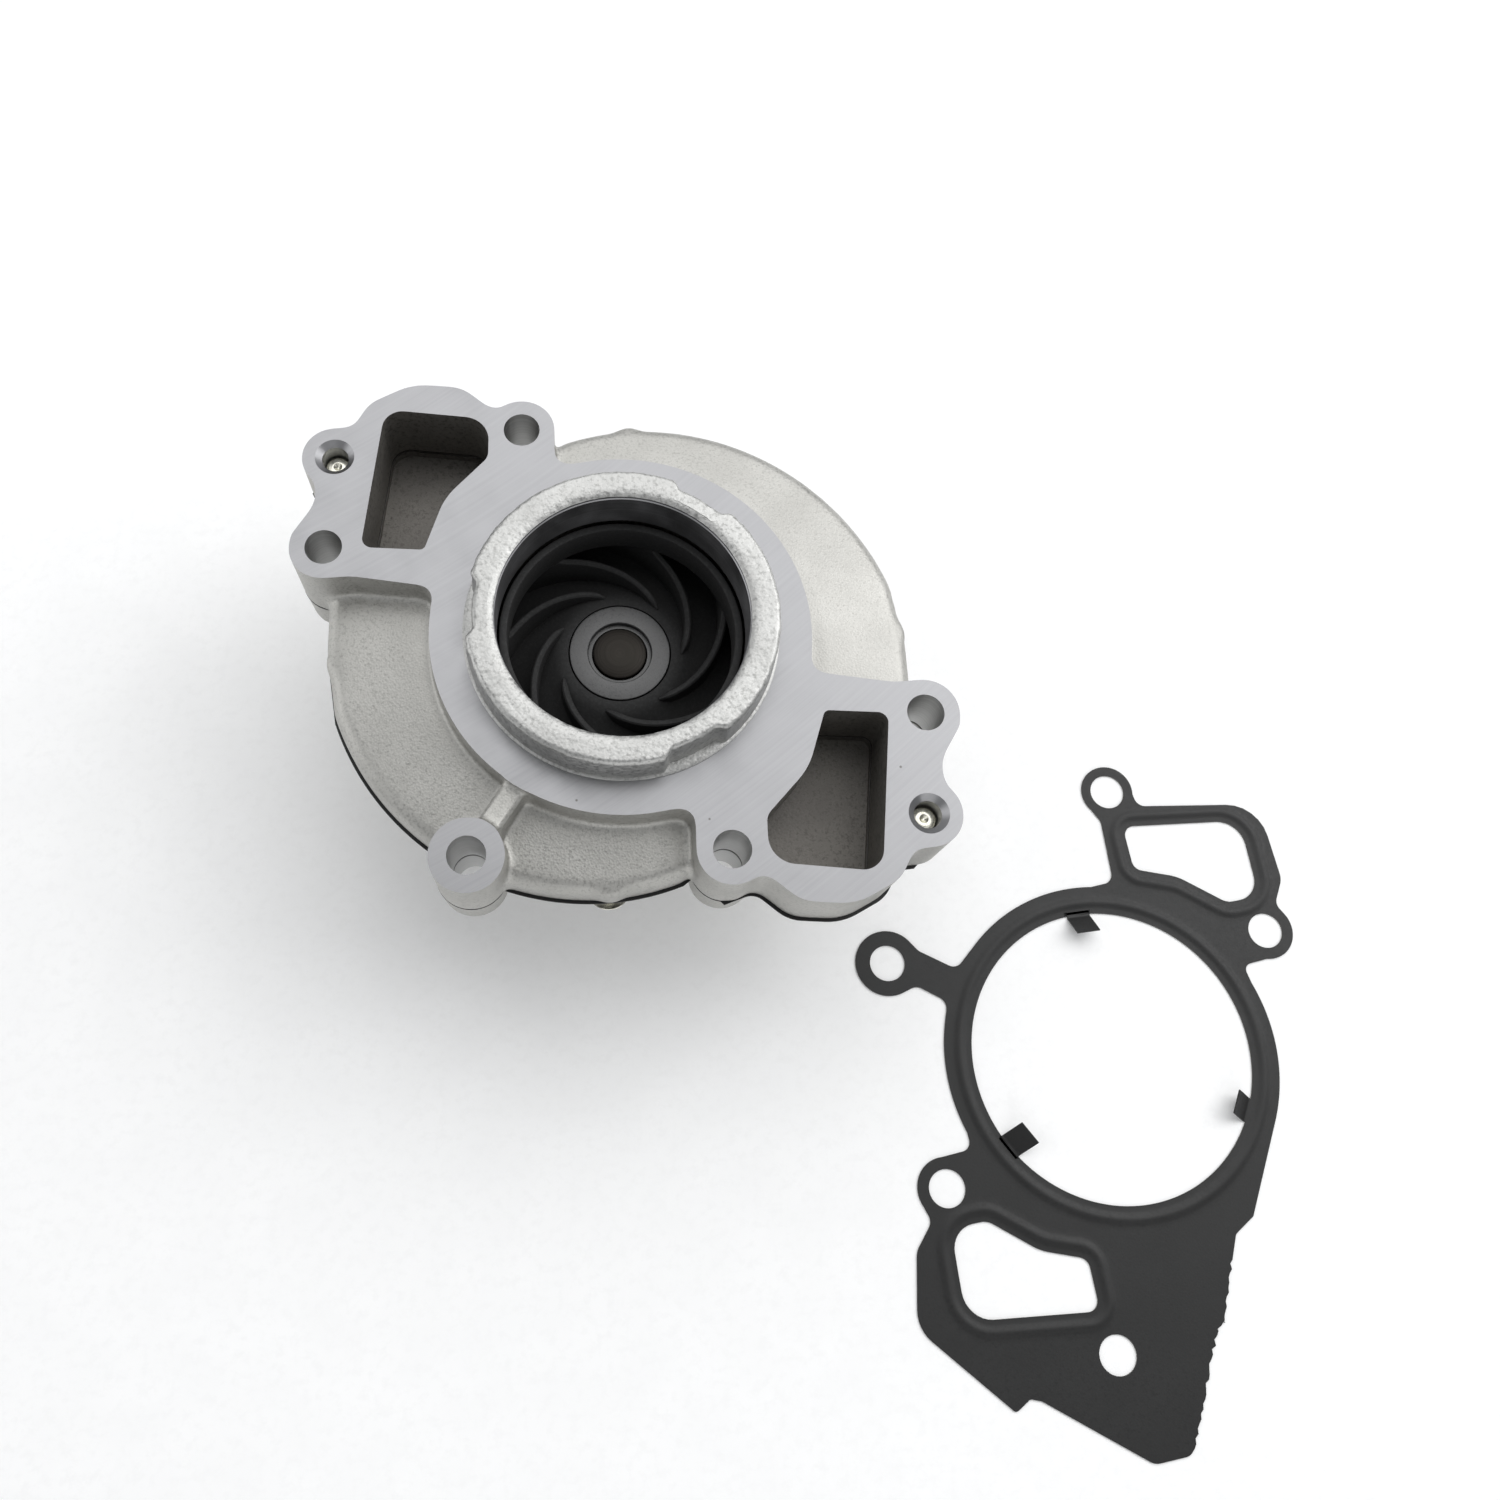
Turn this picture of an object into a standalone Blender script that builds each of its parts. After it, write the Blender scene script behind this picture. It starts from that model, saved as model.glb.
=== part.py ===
"""Engine coolant pump: two castings bolted back to back, with the rotor, bearing and seal inside.

The pump stands on its pulley hub. +Z is the shaft axis, from the pulley up to the inlet snout, and
the origin is the middle of the shaft end that carries the pulley. The loose mounting gasket lies
flat beside the pump. Sizes below are millimetres; the meshes are made in metres.
"""
import math

import bmesh
import bpy
from mathutils import Matrix, Vector

for old in list(bpy.data.objects):
    bpy.data.objects.remove(old, do_unlink=True)

MM = 0.001

# ---- driving dimensions, millimetres ----------------------------------------------------------
GAP = 0.3                  # clearance kept between pieces that touch
ROLLING_GAP = 0.27         # ball or roller to its tracks
RUNNING_GAP = 0.4          # impeller eye to the inlet bore
TIP_GAP = 2.5              # impeller tip to the chamber wall
OVERCUT = 2.0              # how far a cutter runs past the face it opens
SINK = 0.1                 # step between the feet of joined solids, so that no two faces coincide

# front housing, the casting that bolts to the engine
FACE_Z = 75.0              # pulley face to machined mounting face
FRONT_DEPTH = 19.2         # mounting face down to the joint with the rear cover
ANNULUS_R = 46.0           # machined ring around the snout
SNOUT_ROOT_R = 38.4
SNOUT_TOP_R = 37.3
SNOUT_HEIGHT = 10.7
ROOT_STEP = 0.4            # as-cast step that the face mill leaves round the snout
SNOUT_EDGE = 1.0           # outer edge rounding of the snout rim
BORE_R = 30.0
BORE_LEAD = 3.0            # rounding from the rim into the bore
NOTCH_ANGLES = (57.0, 177.0, 297.0)
NOTCH_WIDTH = 11.0
NOTCH_DEPTH = 1.9
NOTCH_FOOT = 0.6           # notch floor above the mounting face
SHOULDER_DROP = 8.5        # as-cast volute shoulder below the machined face
SHOULDER_ROUND = 4.5       # how far the shoulder's outer edge slopes down
VOLUTE_START_R = 59.6
VOLUTE_END_R = 71.6
VOLUTE_START = 104.0       # degrees, where the spiral leaves the port lobe
VOLUTE_END = 14.0
FLANK_END = ((72.2, 0.5), (72.4, -12.0))         # from the spiral's end to the next lobe
CHAMBER_R = 47.5
CHAMBER_WALL_RISE = 5.2    # chamber wall above the joint
CEILING_RISE = 5.6         # cone from that wall up to the inlet bore
MILL_R = 110.0             # reach of the face mill
RIB_DROP = 1.6             # rib top below the mounting face

# fixings
BOLT_HOLE_R = 4.5          # M8 clearance
BOLT_EAR_R = 8.3
BOLT_EARS = ((-24.65, 54.1), (-72.1, 21.2))      # each has a twin half a turn round
ARM_EAR = (-35.7, -55.1)                         # the odd ear on a rib
ARM_EAR_R = 8.75
RIB_WIDTH = 5.6
SCREW_EAR = (-70.8, 45.9)
SCREW_EAR_R = 8.05
RIM_SCREWS = ((66.5, 4.0), (41.5, 41.5), (3.0, 57.0))
RIM_BOSS_R = 5.6
SCREW_R = 3.0              # M6
SCREW_HEAD_R = SCREW_R + 2.5
SCREW_HEX_R = SCREW_R + 1.6
COUNTERSINK_R = SCREW_R + 1.85
SPOT_FACE_R = SCREW_HEAD_R + 0.9
SCREW_FLANGE = 1.2
SCREW_HEAD_HEIGHT = 6.0
SCREW_CHAMFER = 0.6
THROUGH_SCREWS = 2         # the first screws reach up to the mounting face
THROUGH_SCREW_SINK = 5.0   # their ends lie this far below it
RIM_SCREW_REACH = 5.7      # screw end above the joint in the rim bosses

# joint and rear cover
SHEET = 0.5                # steel joint sheet between the castings
SHEET_PROUD = 0.8
COVER_INSET = 1.6
PLATE_THICKNESS = 7.5
EAR_THICKNESS = 11.8
EAR_TAPER = 0.4
PORT_FLOOR = 2.3           # port floor below the top of the cover
THROAT_RISE = 6.0          # way from the chamber into a port, above the joint
CHAMBER_SINK = 12.7        # chamber floor below the top of the cover
BOWL_WALL = 3.0
BOWL_FLOOR = 4.5
TOWER_WALL = 4.65
COVER_RIBS = 6
COVER_RIB_WIDTH = 4.0
WEEP_WIDTH = 3.0

# shaft and its integral bearing
SHAFT_R = 7.96
NOSE_STEP = 1.26           # step down to the nose that carries the impeller
NOSE_LENGTH = 4.9
SHAFT_STEP_DROP = 1.5      # that step below the joint
TRACK_DEPTH = 0.25         # groove that the balls run in
ANNULAR_SPACE = 6.94       # shaft to the outer ring's bore
OUTER_RING_WALL = 4.15
BEARING_LENGTH = 25.8
BEARING_CHAMFER = 0.6
ROLLER_LENGTH = 8.4
ROW_COUNT = 9
ROW_INSET = (6.8, 7.8)     # ball row from the lower end, roller row from the upper end
CAGE_WALL = 2.0
CAGE_BACK = 1.5
SHIELD = 1.4

# mechanical seal
SEAL_SPACE = 9.34          # shaft to the outside of the seal's case
SEAL_SEAT = 3.1            # wall between the bearing and the seal pocket
SEAL_CUP = 0.8             # sheet thickness of the seal's case
SEAL_CUP_LIP = 2.6
BELLOWS_SPACE = 1.3
CARBON_HEIGHT = 1.9
SEAT_HEIGHT = 2.6
SPRING_WIRE_R = 0.55
SPRING_TURNS = 3

# impeller
EYE_WALL = 2.0
EYE_DROP = 2.7             # eye ring below the mounting face
VANES = 7
VANE_THICKNESS = 2.2
VANE_SWEEP = 2.1           # turn in radians for each unit of ln(radius)
VANE_STATIONS = 8
INSERT_WALL = 5.9
INSERT_PROUD = 0.4         # insert above the shaft end

# pulley hub
HUB_R = 36.0
HUB_THICKNESS = 6.0
HUB_CHAMFER = 0.8
HUB_BOSS_WALL = 6.54
HUB_GAP = 1.0              # hub boss to the bearing's outer ring
PULLEY_HOLES = 3
PULLEY_HOLE_CIRCLE_R = 25.0
PULLEY_HOLE_R = 3.4        # M8 tapping size

# loose mounting gasket
GASKET_THICKNESS = 0.8
GASKET_RING_R = (SNOUT_ROOT_R + 0.6, ANNULUS_R + 0.6)
GASKET_HOLE_R = BOLT_HOLE_R + 0.4
GASKET_EAR_R = 8.0
GASKET_TURN = -80.0
GASKET_PLACE = (136.0, -95.0)
TAB_WIDTH = 6.6
TAB_LENGTH = 8.0
TAB_LEAN = 45.0

# ---- sizes worked out from those above --------------------------------------------------------
JOINT_Z = FACE_Z - FRONT_DEPTH
SHEET_Z = (JOINT_Z - GAP - SHEET, JOINT_Z - GAP)
COVER_Z = SHEET_Z[0] - GAP
SNOUT_TOP_Z = FACE_Z + SNOUT_HEIGHT
SHOULDER_Z = FACE_Z - SHOULDER_DROP
PLATE_Z = COVER_Z - PLATE_THICKNESS
SCREW_SEAT_Z = PLATE_Z - GAP
CHAMBER_FLOOR_Z = COVER_Z - CHAMBER_SINK
SEAL_FLOOR_Z = CHAMBER_FLOOR_Z - 0.5
SEAL_RIM_Z = CHAMBER_FLOOR_Z + 4.0
BEARING_TOP_Z = SEAL_FLOOR_Z - SEAL_SEAT
BEARING_Z = (BEARING_TOP_Z - BEARING_LENGTH, BEARING_TOP_Z)
BALL_ROW_Z = BEARING_Z[0] + ROW_INSET[0]
ROLLER_ROW_Z = BEARING_Z[1] - ROW_INSET[1]
TOWER_FOOT_Z = BEARING_Z[0] + 0.4
HUB_TOP_Z = BEARING_Z[0] - HUB_GAP
CARBON_Z = SEAL_RIM_Z + GAP + SEAL_CUP + BELLOWS_SPACE
SEAT_Z = CARBON_Z + CARBON_HEIGHT + GAP
SEAT_TOP_Z = SEAT_Z + SEAT_HEIGHT
SHAFT_STEP_Z = JOINT_Z - SHAFT_STEP_DROP
SHAFT_TOP_Z = SHAFT_STEP_Z + NOSE_LENGTH
INSERT_TOP_Z = SHAFT_TOP_Z + INSERT_PROUD
EYE_TOP_Z = FACE_Z - EYE_DROP
SHAFT_NOSE_R = SHAFT_R - NOSE_STEP
BEARING_BORE_R = SHAFT_R + ANNULAR_SPACE
BEARING_R = BEARING_BORE_R + OUTER_RING_WALL
SEAL_R = SHAFT_R + SEAL_SPACE
ROW_R = SHAFT_R + ANNULAR_SPACE / 2
ROLLER_R = ANNULAR_SPACE / 2 - ROLLING_GAP       # balls and rollers alike
TOWER_R = BEARING_R + GAP + TOWER_WALL
INSERT_R = SHAFT_NOSE_R + INSERT_WALL
VANE_START_R = INSERT_R + 2.9
IMPELLER_R = CHAMBER_R - TIP_GAP
EYE_R = BORE_R - RUNNING_GAP - EYE_WALL
HUB_BOSS_R = SHAFT_R + HUB_BOSS_WALL

# ---- outlines, each corner an (x, y, corner radius) -------------------------------------------
LOBE = ((-3.0, ANNULUS_R - 0.1, 0), (-16.4, 43.9, 3.5), (-16.4, 54.1, 0), (-24.65, 62.3, 0),
        (-32.0, 59.6, 5), (-40.0, 66.2, 9), (-52.5, 66.9, 14), (-63.0, 61.2, 8), (-66.6, 54.4, 4),
        (-70.8, 53.9, 0), (-78.8, 45.9, 0), (-73.6, 34.8, 9), (-80.3, 24.0, 0), (-72.1, 12.9, 0),
        (-65.0, 13.5, 8), (-45.2, 10.8, 3.5), (-ANNULUS_R + 0.1, 3.0, 0))
PORT = ((-63.2, 21.2, 2.5), (-47.9, 20.6, 1.5), (-43.3, 34.8, 18), (-32.9, 46.2, 4),
        (-32.9, 57.1, 6.5), (-59.0, 59.5, 5))
GASKET_PORT = ((-61.3, 22.6, 3), (-48.6, 22.0, 3), (-44.2, 33.9, 14), (-34.4, 45.8, 5),
               (-34.4, 55.8, 6.5), (-56.8, 57.6, 7.5))
THROAT = ((-58, 30, 0), (-38, 14, 0), (-22, 30, 0), (-38, 50, 0))


def rounded(corners, steps=4):
    """Points of a polygon whose corners are replaced by tangent arcs."""
    points = []
    count = len(corners)
    for i, (x, y, radius) in enumerate(corners):
        here = Vector((x, y))
        if radius == 0:
            points.append((x, y))
            continue
        to_last = (Vector(corners[i - 1][:2]) - here).normalized()
        to_next = (Vector(corners[(i + 1) % count][:2]) - here).normalized()
        half = to_last.angle(to_next) / 2
        centre = here + (to_last + to_next).normalized() * radius / math.sin(half)
        start = here + to_last * radius / math.tan(half) - centre
        sweep = start.angle_signed(here + to_next * radius / math.tan(half) - centre)
        for step in range(steps + 1):
            turned_arm = Matrix.Rotation(-sweep * step / steps, 2) @ start
            points.append(tuple(centre + turned_arm))
    return points


def bent(*corners):
    """The rounded middle of an open line, whose first and last points only give directions."""
    return rounded(corners, 3)[1:-1]


def arc(centre, radius, first, last, steps):
    """Points along an arc, angles in degrees."""
    angles = (math.radians(first + (last - first) * i / steps) for i in range(steps + 1))
    return [(centre[0] + radius * math.cos(a), centre[1] + radius * math.sin(a)) for a in angles]


def half_turn(points):
    return [(-x, -y) for x, y in points]


def scaled(points, factor):
    return [(x * factor, y * factor) for x, y in points]


def area(points):
    ahead = points[1:] + points[:1]
    return sum(x0 * y1 - x1 * y0 for (x0, y0), (x1, y1) in zip(points, ahead)) / 2


def offset(points, distance):
    """The outline moved outwards by distance along its own normals."""
    side = math.copysign(1.0, area(points))
    moved = []
    for i, here in enumerate(points):
        before = Vector(points[i - 1])
        after = Vector(points[(i + 1) % len(points)])
        first = (Vector(here) - before).normalized()
        second = (after - Vector(here)).normalized()
        normal = Vector((first.y + second.y, -first.x - second.x)).normalized() * side
        stretch = 1 / max(0.5, normal.dot(Vector((first.y, -first.x)) * side))
        moved.append(tuple(Vector(here) + normal * distance * stretch))
    return moved


def volute_outline():
    """Both spiral flanks of the volute; the chords between them run under the port lobes."""
    flank = []
    for i in range(9):
        share = i / 8
        angle = math.radians(VOLUTE_START + (VOLUTE_END - VOLUTE_START) * share)
        radius = VOLUTE_START_R + (VOLUTE_END_R - VOLUTE_START_R) * share
        flank.append((radius * math.cos(angle), radius * math.sin(angle)))
    flank += FLANK_END
    return flank + half_turn(flank)


# ---- solids -------------------------------------------------------------------------------------
def material(name, colour, roughness, metallic):
    paint = bpy.data.materials.new(name)
    paint.use_nodes = True
    shader = paint.node_tree.nodes["Principled BSDF"]
    shader.inputs["Base Color"].default_value = (*colour, 1.0)
    shader.inputs["Roughness"].default_value = roughness
    shader.inputs["Metallic"].default_value = metallic
    return paint


CAST = material("cast_aluminium", (0.60, 0.60, 0.58), 0.5, 1.0)
COATED = material("coated_steel_sheet", (0.03, 0.03, 0.03), 0.5, 0.0)
STEEL = material("bearing_steel", (0.45, 0.45, 0.45), 0.3, 1.0)
ZINC = material("zinc_plated_steel", (0.65, 0.65, 0.66), 0.3, 1.0)
PLASTIC = material("glass_filled_plastic", (0.015, 0.015, 0.015), 0.4, 0.0)
RUBBER = material("seal_rubber", (0.02, 0.02, 0.02), 0.7, 0.0)
BRASS = material("brass", (0.60, 0.45, 0.20), 0.35, 1.0)
CARBON = material("seal_carbon", (0.03, 0.03, 0.035), 0.35, 0.0)
CERAMIC = material("seal_ceramic", (0.75, 0.72, 0.66), 0.25, 0.0)


def make_object(name, bm, paint):
    bmesh.ops.scale(bm, vec=(MM, MM, MM), verts=bm.verts)
    bmesh.ops.recalc_face_normals(bm, faces=bm.faces)
    mesh = bpy.data.meshes.new(name)
    bm.to_mesh(mesh)
    bm.free()
    mesh.shade_smooth()
    mesh.set_sharp_from_angle(angle=math.radians(35))
    item = bpy.data.objects.new(name, mesh)
    if paint:
        mesh.materials.append(paint)
    bpy.context.collection.objects.link(item)
    return item


def lofted(name, layers, paint=None):
    """A solid through outlines with equal point counts, each layer an (outline, height)."""
    bm = bmesh.new()
    rings = [[bm.verts.new((x, y, z)) for x, y in outline] for outline, z in layers]
    for low, high in zip(rings, rings[1:]):
        for i in range(len(low)):
            bm.faces.new((low[i - 1], low[i], high[i], high[i - 1]))
    bm.faces.new(rings[0])
    bm.faces.new(rings[-1])
    return make_object(name, bm, paint)


def prism(name, outline, low, high, paint=None):
    return lofted(name, [(outline, low), (outline, high)], paint)


def cylinder(name, centre, radius, low, high, paint=None, segments=18, top_radius=None):
    top_radius = radius if top_radius is None else top_radius
    bottom = arc(centre, radius, 0, 360, segments)[:-1]
    top = arc(centre, top_radius, 0, 360, segments)[:-1]
    return lofted(name, [(bottom, low), (top, high)], paint)


def turned(name, profile, paint=None, segments=40):
    """A ring turned about the shaft axis from a closed (radius, height) profile."""
    bm = bmesh.new()
    columns = []
    for i in range(segments):
        angle = 2 * math.pi * i / segments
        columns.append([bm.verts.new((r * math.cos(angle), r * math.sin(angle), z))
                        for r, z in profile])
    for i, column in enumerate(columns):
        last = columns[i - 1]
        for k in range(len(profile)):
            bm.faces.new((last[k - 1], column[k - 1], column[k], last[k]))
    return make_object(name, bm, paint)


def stacked(name, profile, paint=None, segments=40):
    """A solid round bar along the shaft axis from its outer (radius, height) profile."""
    layers = [(arc((0, 0), r, 0, 360, segments)[:-1], z) for r, z in profile]
    return lofted(name, layers, paint)


def slab(name, width, side, angle, paint=None):
    """A plate of given width across a radial direction, from its (radius, height) side view."""
    bm = bmesh.new()
    turn = Matrix.Rotation(math.radians(angle), 3, "Z")
    faces = [[bm.verts.new(turn @ Vector((r, w, z))) for r, z in side]
             for w in (-width / 2, width / 2)]
    for i in range(len(side)):
        bm.faces.new((faces[0][i - 1], faces[0][i], faces[1][i], faces[1][i - 1]))
    bm.faces.new(faces[0])
    bm.faces.new(faces[1])
    return make_object(name, bm, paint)


def combine(target, others, operation):
    for other in others:
        step = target.modifiers.new(other.name, "BOOLEAN")
        step.operation = operation
        step.solver = "EXACT"
        step.object = other
        other.hide_render = True
        other.display_type = "WIRE"


def join(target, *others):
    combine(target, others, "UNION")


def cut(target, *others):
    combine(target, others, "DIFFERENCE")


def between(low, high, share):
    """The value a share of the way from low to high."""
    return low + (high - low) * share


def twins(points):
    """Each place with its twin half a turn round the shaft."""
    return list(points) + half_turn(points)


BOLT_HOLES = twins(BOLT_EARS) + [ARM_EAR]
SCREW_PLACES = twins([SCREW_EAR]) + twins(RIM_SCREWS)


# ---- castings -----------------------------------------------------------------------------------
def front_housing():
    """The as-cast body first, then the machining: face, bore, ports and holes."""
    base = JOINT_Z
    volute = volute_outline()
    wall_top = SHOULDER_Z - SHOULDER_ROUND
    housing = lofted("front_housing", [(volute, base), (volute, wall_top),
                                       (scaled(volute, 0.97), SHOULDER_Z - SHOULDER_ROUND / 3),
                                       (scaled(volute, 0.93), SHOULDER_Z)], CAST)
    rim = SNOUT_TOP_Z
    snout = stacked("body_snout", [(ANNULUS_R, base + SINK / 2), (ANNULUS_R, FACE_Z + ROOT_STEP),
                                   (SNOUT_ROOT_R - ROOT_STEP, FACE_Z + ROOT_STEP),
                                   (SNOUT_TOP_R, rim - SNOUT_EDGE),
                                   (SNOUT_TOP_R - SNOUT_EDGE, rim)], segments=48)
    raised = FACE_Z + 9 * SINK
    parts = [snout]
    lobe = rounded(LOBE)
    for tag, outline in (("a", lobe), ("b", half_turn(lobe))):
        parts.append(prism("body_lobe_" + tag, outline, base + SINK, raised))
    for i, place in enumerate(twins(BOLT_EARS)):
        parts.append(cylinder(f"body_bolt_ear_{i}", place, BOLT_EAR_R, base + 2 * SINK,
                              raised + 2 * SINK))
    for i, place in enumerate(twins([SCREW_EAR])):
        parts.append(cylinder(f"body_screw_ear_{i}", place, SCREW_EAR_R, base + 3 * SINK,
                              raised + 3 * SINK))
    for i, place in enumerate(twins(RIM_SCREWS)):
        parts.append(cylinder(f"body_rim_boss_{i}", place, RIM_BOSS_R, base + 1.5 * SINK,
                              wall_top + 1, segments=16))
    parts.append(cylinder("body_arm_ear", ARM_EAR, ARM_EAR_R, base + 2.5 * SINK, raised + SINK))
    reach = math.hypot(*ARM_EAR)
    bearing = math.degrees(math.atan2(ARM_EAR[1], ARM_EAR[0]))
    root = ANNULUS_R - 6
    rib = [(root, base + 3.5 * SINK), (reach, base + 3.5 * SINK), (reach, FACE_Z - RIB_DROP),
           (root, FACE_Z - RIB_DROP)]
    parts.append(slab("body_rib", RIB_WIDTH, rib, bearing))
    join(housing, *parts)

    mill_top = FACE_Z + 3 * OVERCUT
    mill = turned("cut_face", [(SNOUT_ROOT_R, FACE_Z), (MILL_R, FACE_Z), (MILL_R, mill_top),
                               (SNOUT_ROOT_R, mill_top)], segments=48)
    below, skim = base - 3 * OVERCUT, base + 5 * SINK
    foot = turned("cut_joint", [(1, below), (MILL_R, below), (MILL_R, skim), (1, skim)],
                  segments=24)
    wall, rise = base + CHAMBER_WALL_RISE, CEILING_RISE
    ceiling = stacked("cut_bore", [(CHAMBER_R, base - OVERCUT), (CHAMBER_R, wall),
                                   (between(BORE_R, CHAMBER_R, 0.46), wall + 0.29 * rise),
                                   (between(BORE_R, CHAMBER_R, 0.23), wall + 0.61 * rise),
                                   (BORE_R, wall + rise),
                                   (BORE_R, rim - BORE_LEAD / 2), (BORE_R + BORE_LEAD, rim),
                                   (BORE_R + BORE_LEAD, rim + OVERCUT)], segments=48)
    cut(housing, mill, foot, ceiling)
    for i, angle in enumerate(NOTCH_ANGLES):
        inner = SNOUT_TOP_R - NOTCH_DEPTH
        outer = SNOUT_ROOT_R + 2 * OVERCUT
        side = [(inner, FACE_Z + NOTCH_FOOT), (outer, FACE_Z + NOTCH_FOOT),
                (outer, rim + OVERCUT), (inner, rim + OVERCUT)]
        cut(housing, slab(f"cut_notch_{i}", NOTCH_WIDTH, side, angle))
    port = rounded(PORT)
    throat = rounded(THROAT)
    for tag, turn in (("a", list), ("b", half_turn)):
        cut(housing,
            prism("cut_port_" + tag, turn(port), base - OVERCUT, FACE_Z + OVERCUT),
            prism("cut_throat_" + tag, turn(throat), base - OVERCUT, base + THROAT_RISE))
    for i, place in enumerate(BOLT_HOLES):
        cut(housing, cylinder(f"cut_bolt_{i}", place, BOLT_HOLE_R, base - OVERCUT,
                              FACE_Z + OVERCUT, segments=14))
    hole = SCREW_R + GAP
    for i, place in enumerate(SCREW_PLACES):
        through = i < THROUGH_SCREWS
        top = FACE_Z + OVERCUT if through else base + RIM_SCREW_REACH + GAP
        cut(housing, cylinder(f"cut_screw_{i}", place, hole, base - OVERCUT, top, segments=12))
        if through:
            flare = COUNTERSINK_R - hole
            cut(housing, cylinder(f"cut_sink_{i}", place, hole, FACE_Z - 2 * flare,
                                  FACE_Z + flare, segments=16,
                                  top_radius=COUNTERSINK_R + flare / 2))
    return housing


def sheet_outline(grow):
    """Outlines of the joint between the castings, moved out by grow."""
    lobe = offset(rounded(LOBE), grow)
    return [offset(volute_outline(), grow), lobe, half_turn(lobe)]


def open_inside(target, low, high):
    """The chamber and the two ways out of it, cut through a piece that lies in the joint."""
    throat = rounded(THROAT)
    port = rounded(PORT)
    name = target.name
    cut(target, cylinder(f"cut_chamber_{name}", (0, 0), CHAMBER_R, low, high, segments=48))
    for tag, turn in (("a", list), ("b", half_turn)):
        cut(target, prism(f"cut_port_{tag}_{name}", turn(port), low - SINK, high + SINK),
            prism(f"cut_throat_{tag}_{name}", turn(throat), low - 2 * SINK,
                  high + 2 * SINK))


def drill(target, low, high):
    name = target.name
    for i, place in enumerate(BOLT_HOLES):
        cut(target, cylinder(f"cut_bolt_{i}_{name}", place, BOLT_HOLE_R, low, high, segments=14))
    for i, place in enumerate(SCREW_PLACES):
        cut(target, cylinder(f"cut_screw_{i}_{name}", place, SCREW_R + GAP, low, high,
                             segments=12))


def joint_sheet():
    low, high = SHEET_Z
    body, lobe_a, lobe_b = sheet_outline(SHEET_PROUD)
    sheet = prism("joint_sheet", body, low, high, COATED)
    edge = SHEET / 12
    join(sheet, prism("body_sheet_a", lobe_a, low + edge, high - edge),
         prism("body_sheet_b", lobe_b, low + edge, high - edge))
    for i, place in enumerate(BOLT_HOLES):
        radius = ARM_EAR_R if place == ARM_EAR else BOLT_EAR_R
        join(sheet, cylinder(f"body_sheet_ear_{i}", place, radius, low + 2 * edge,
                             high - 2 * edge))
    open_inside(sheet, low - OVERCUT, high + OVERCUT)
    drill(sheet, low - OVERCUT, high + OVERCUT)
    return sheet


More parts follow.
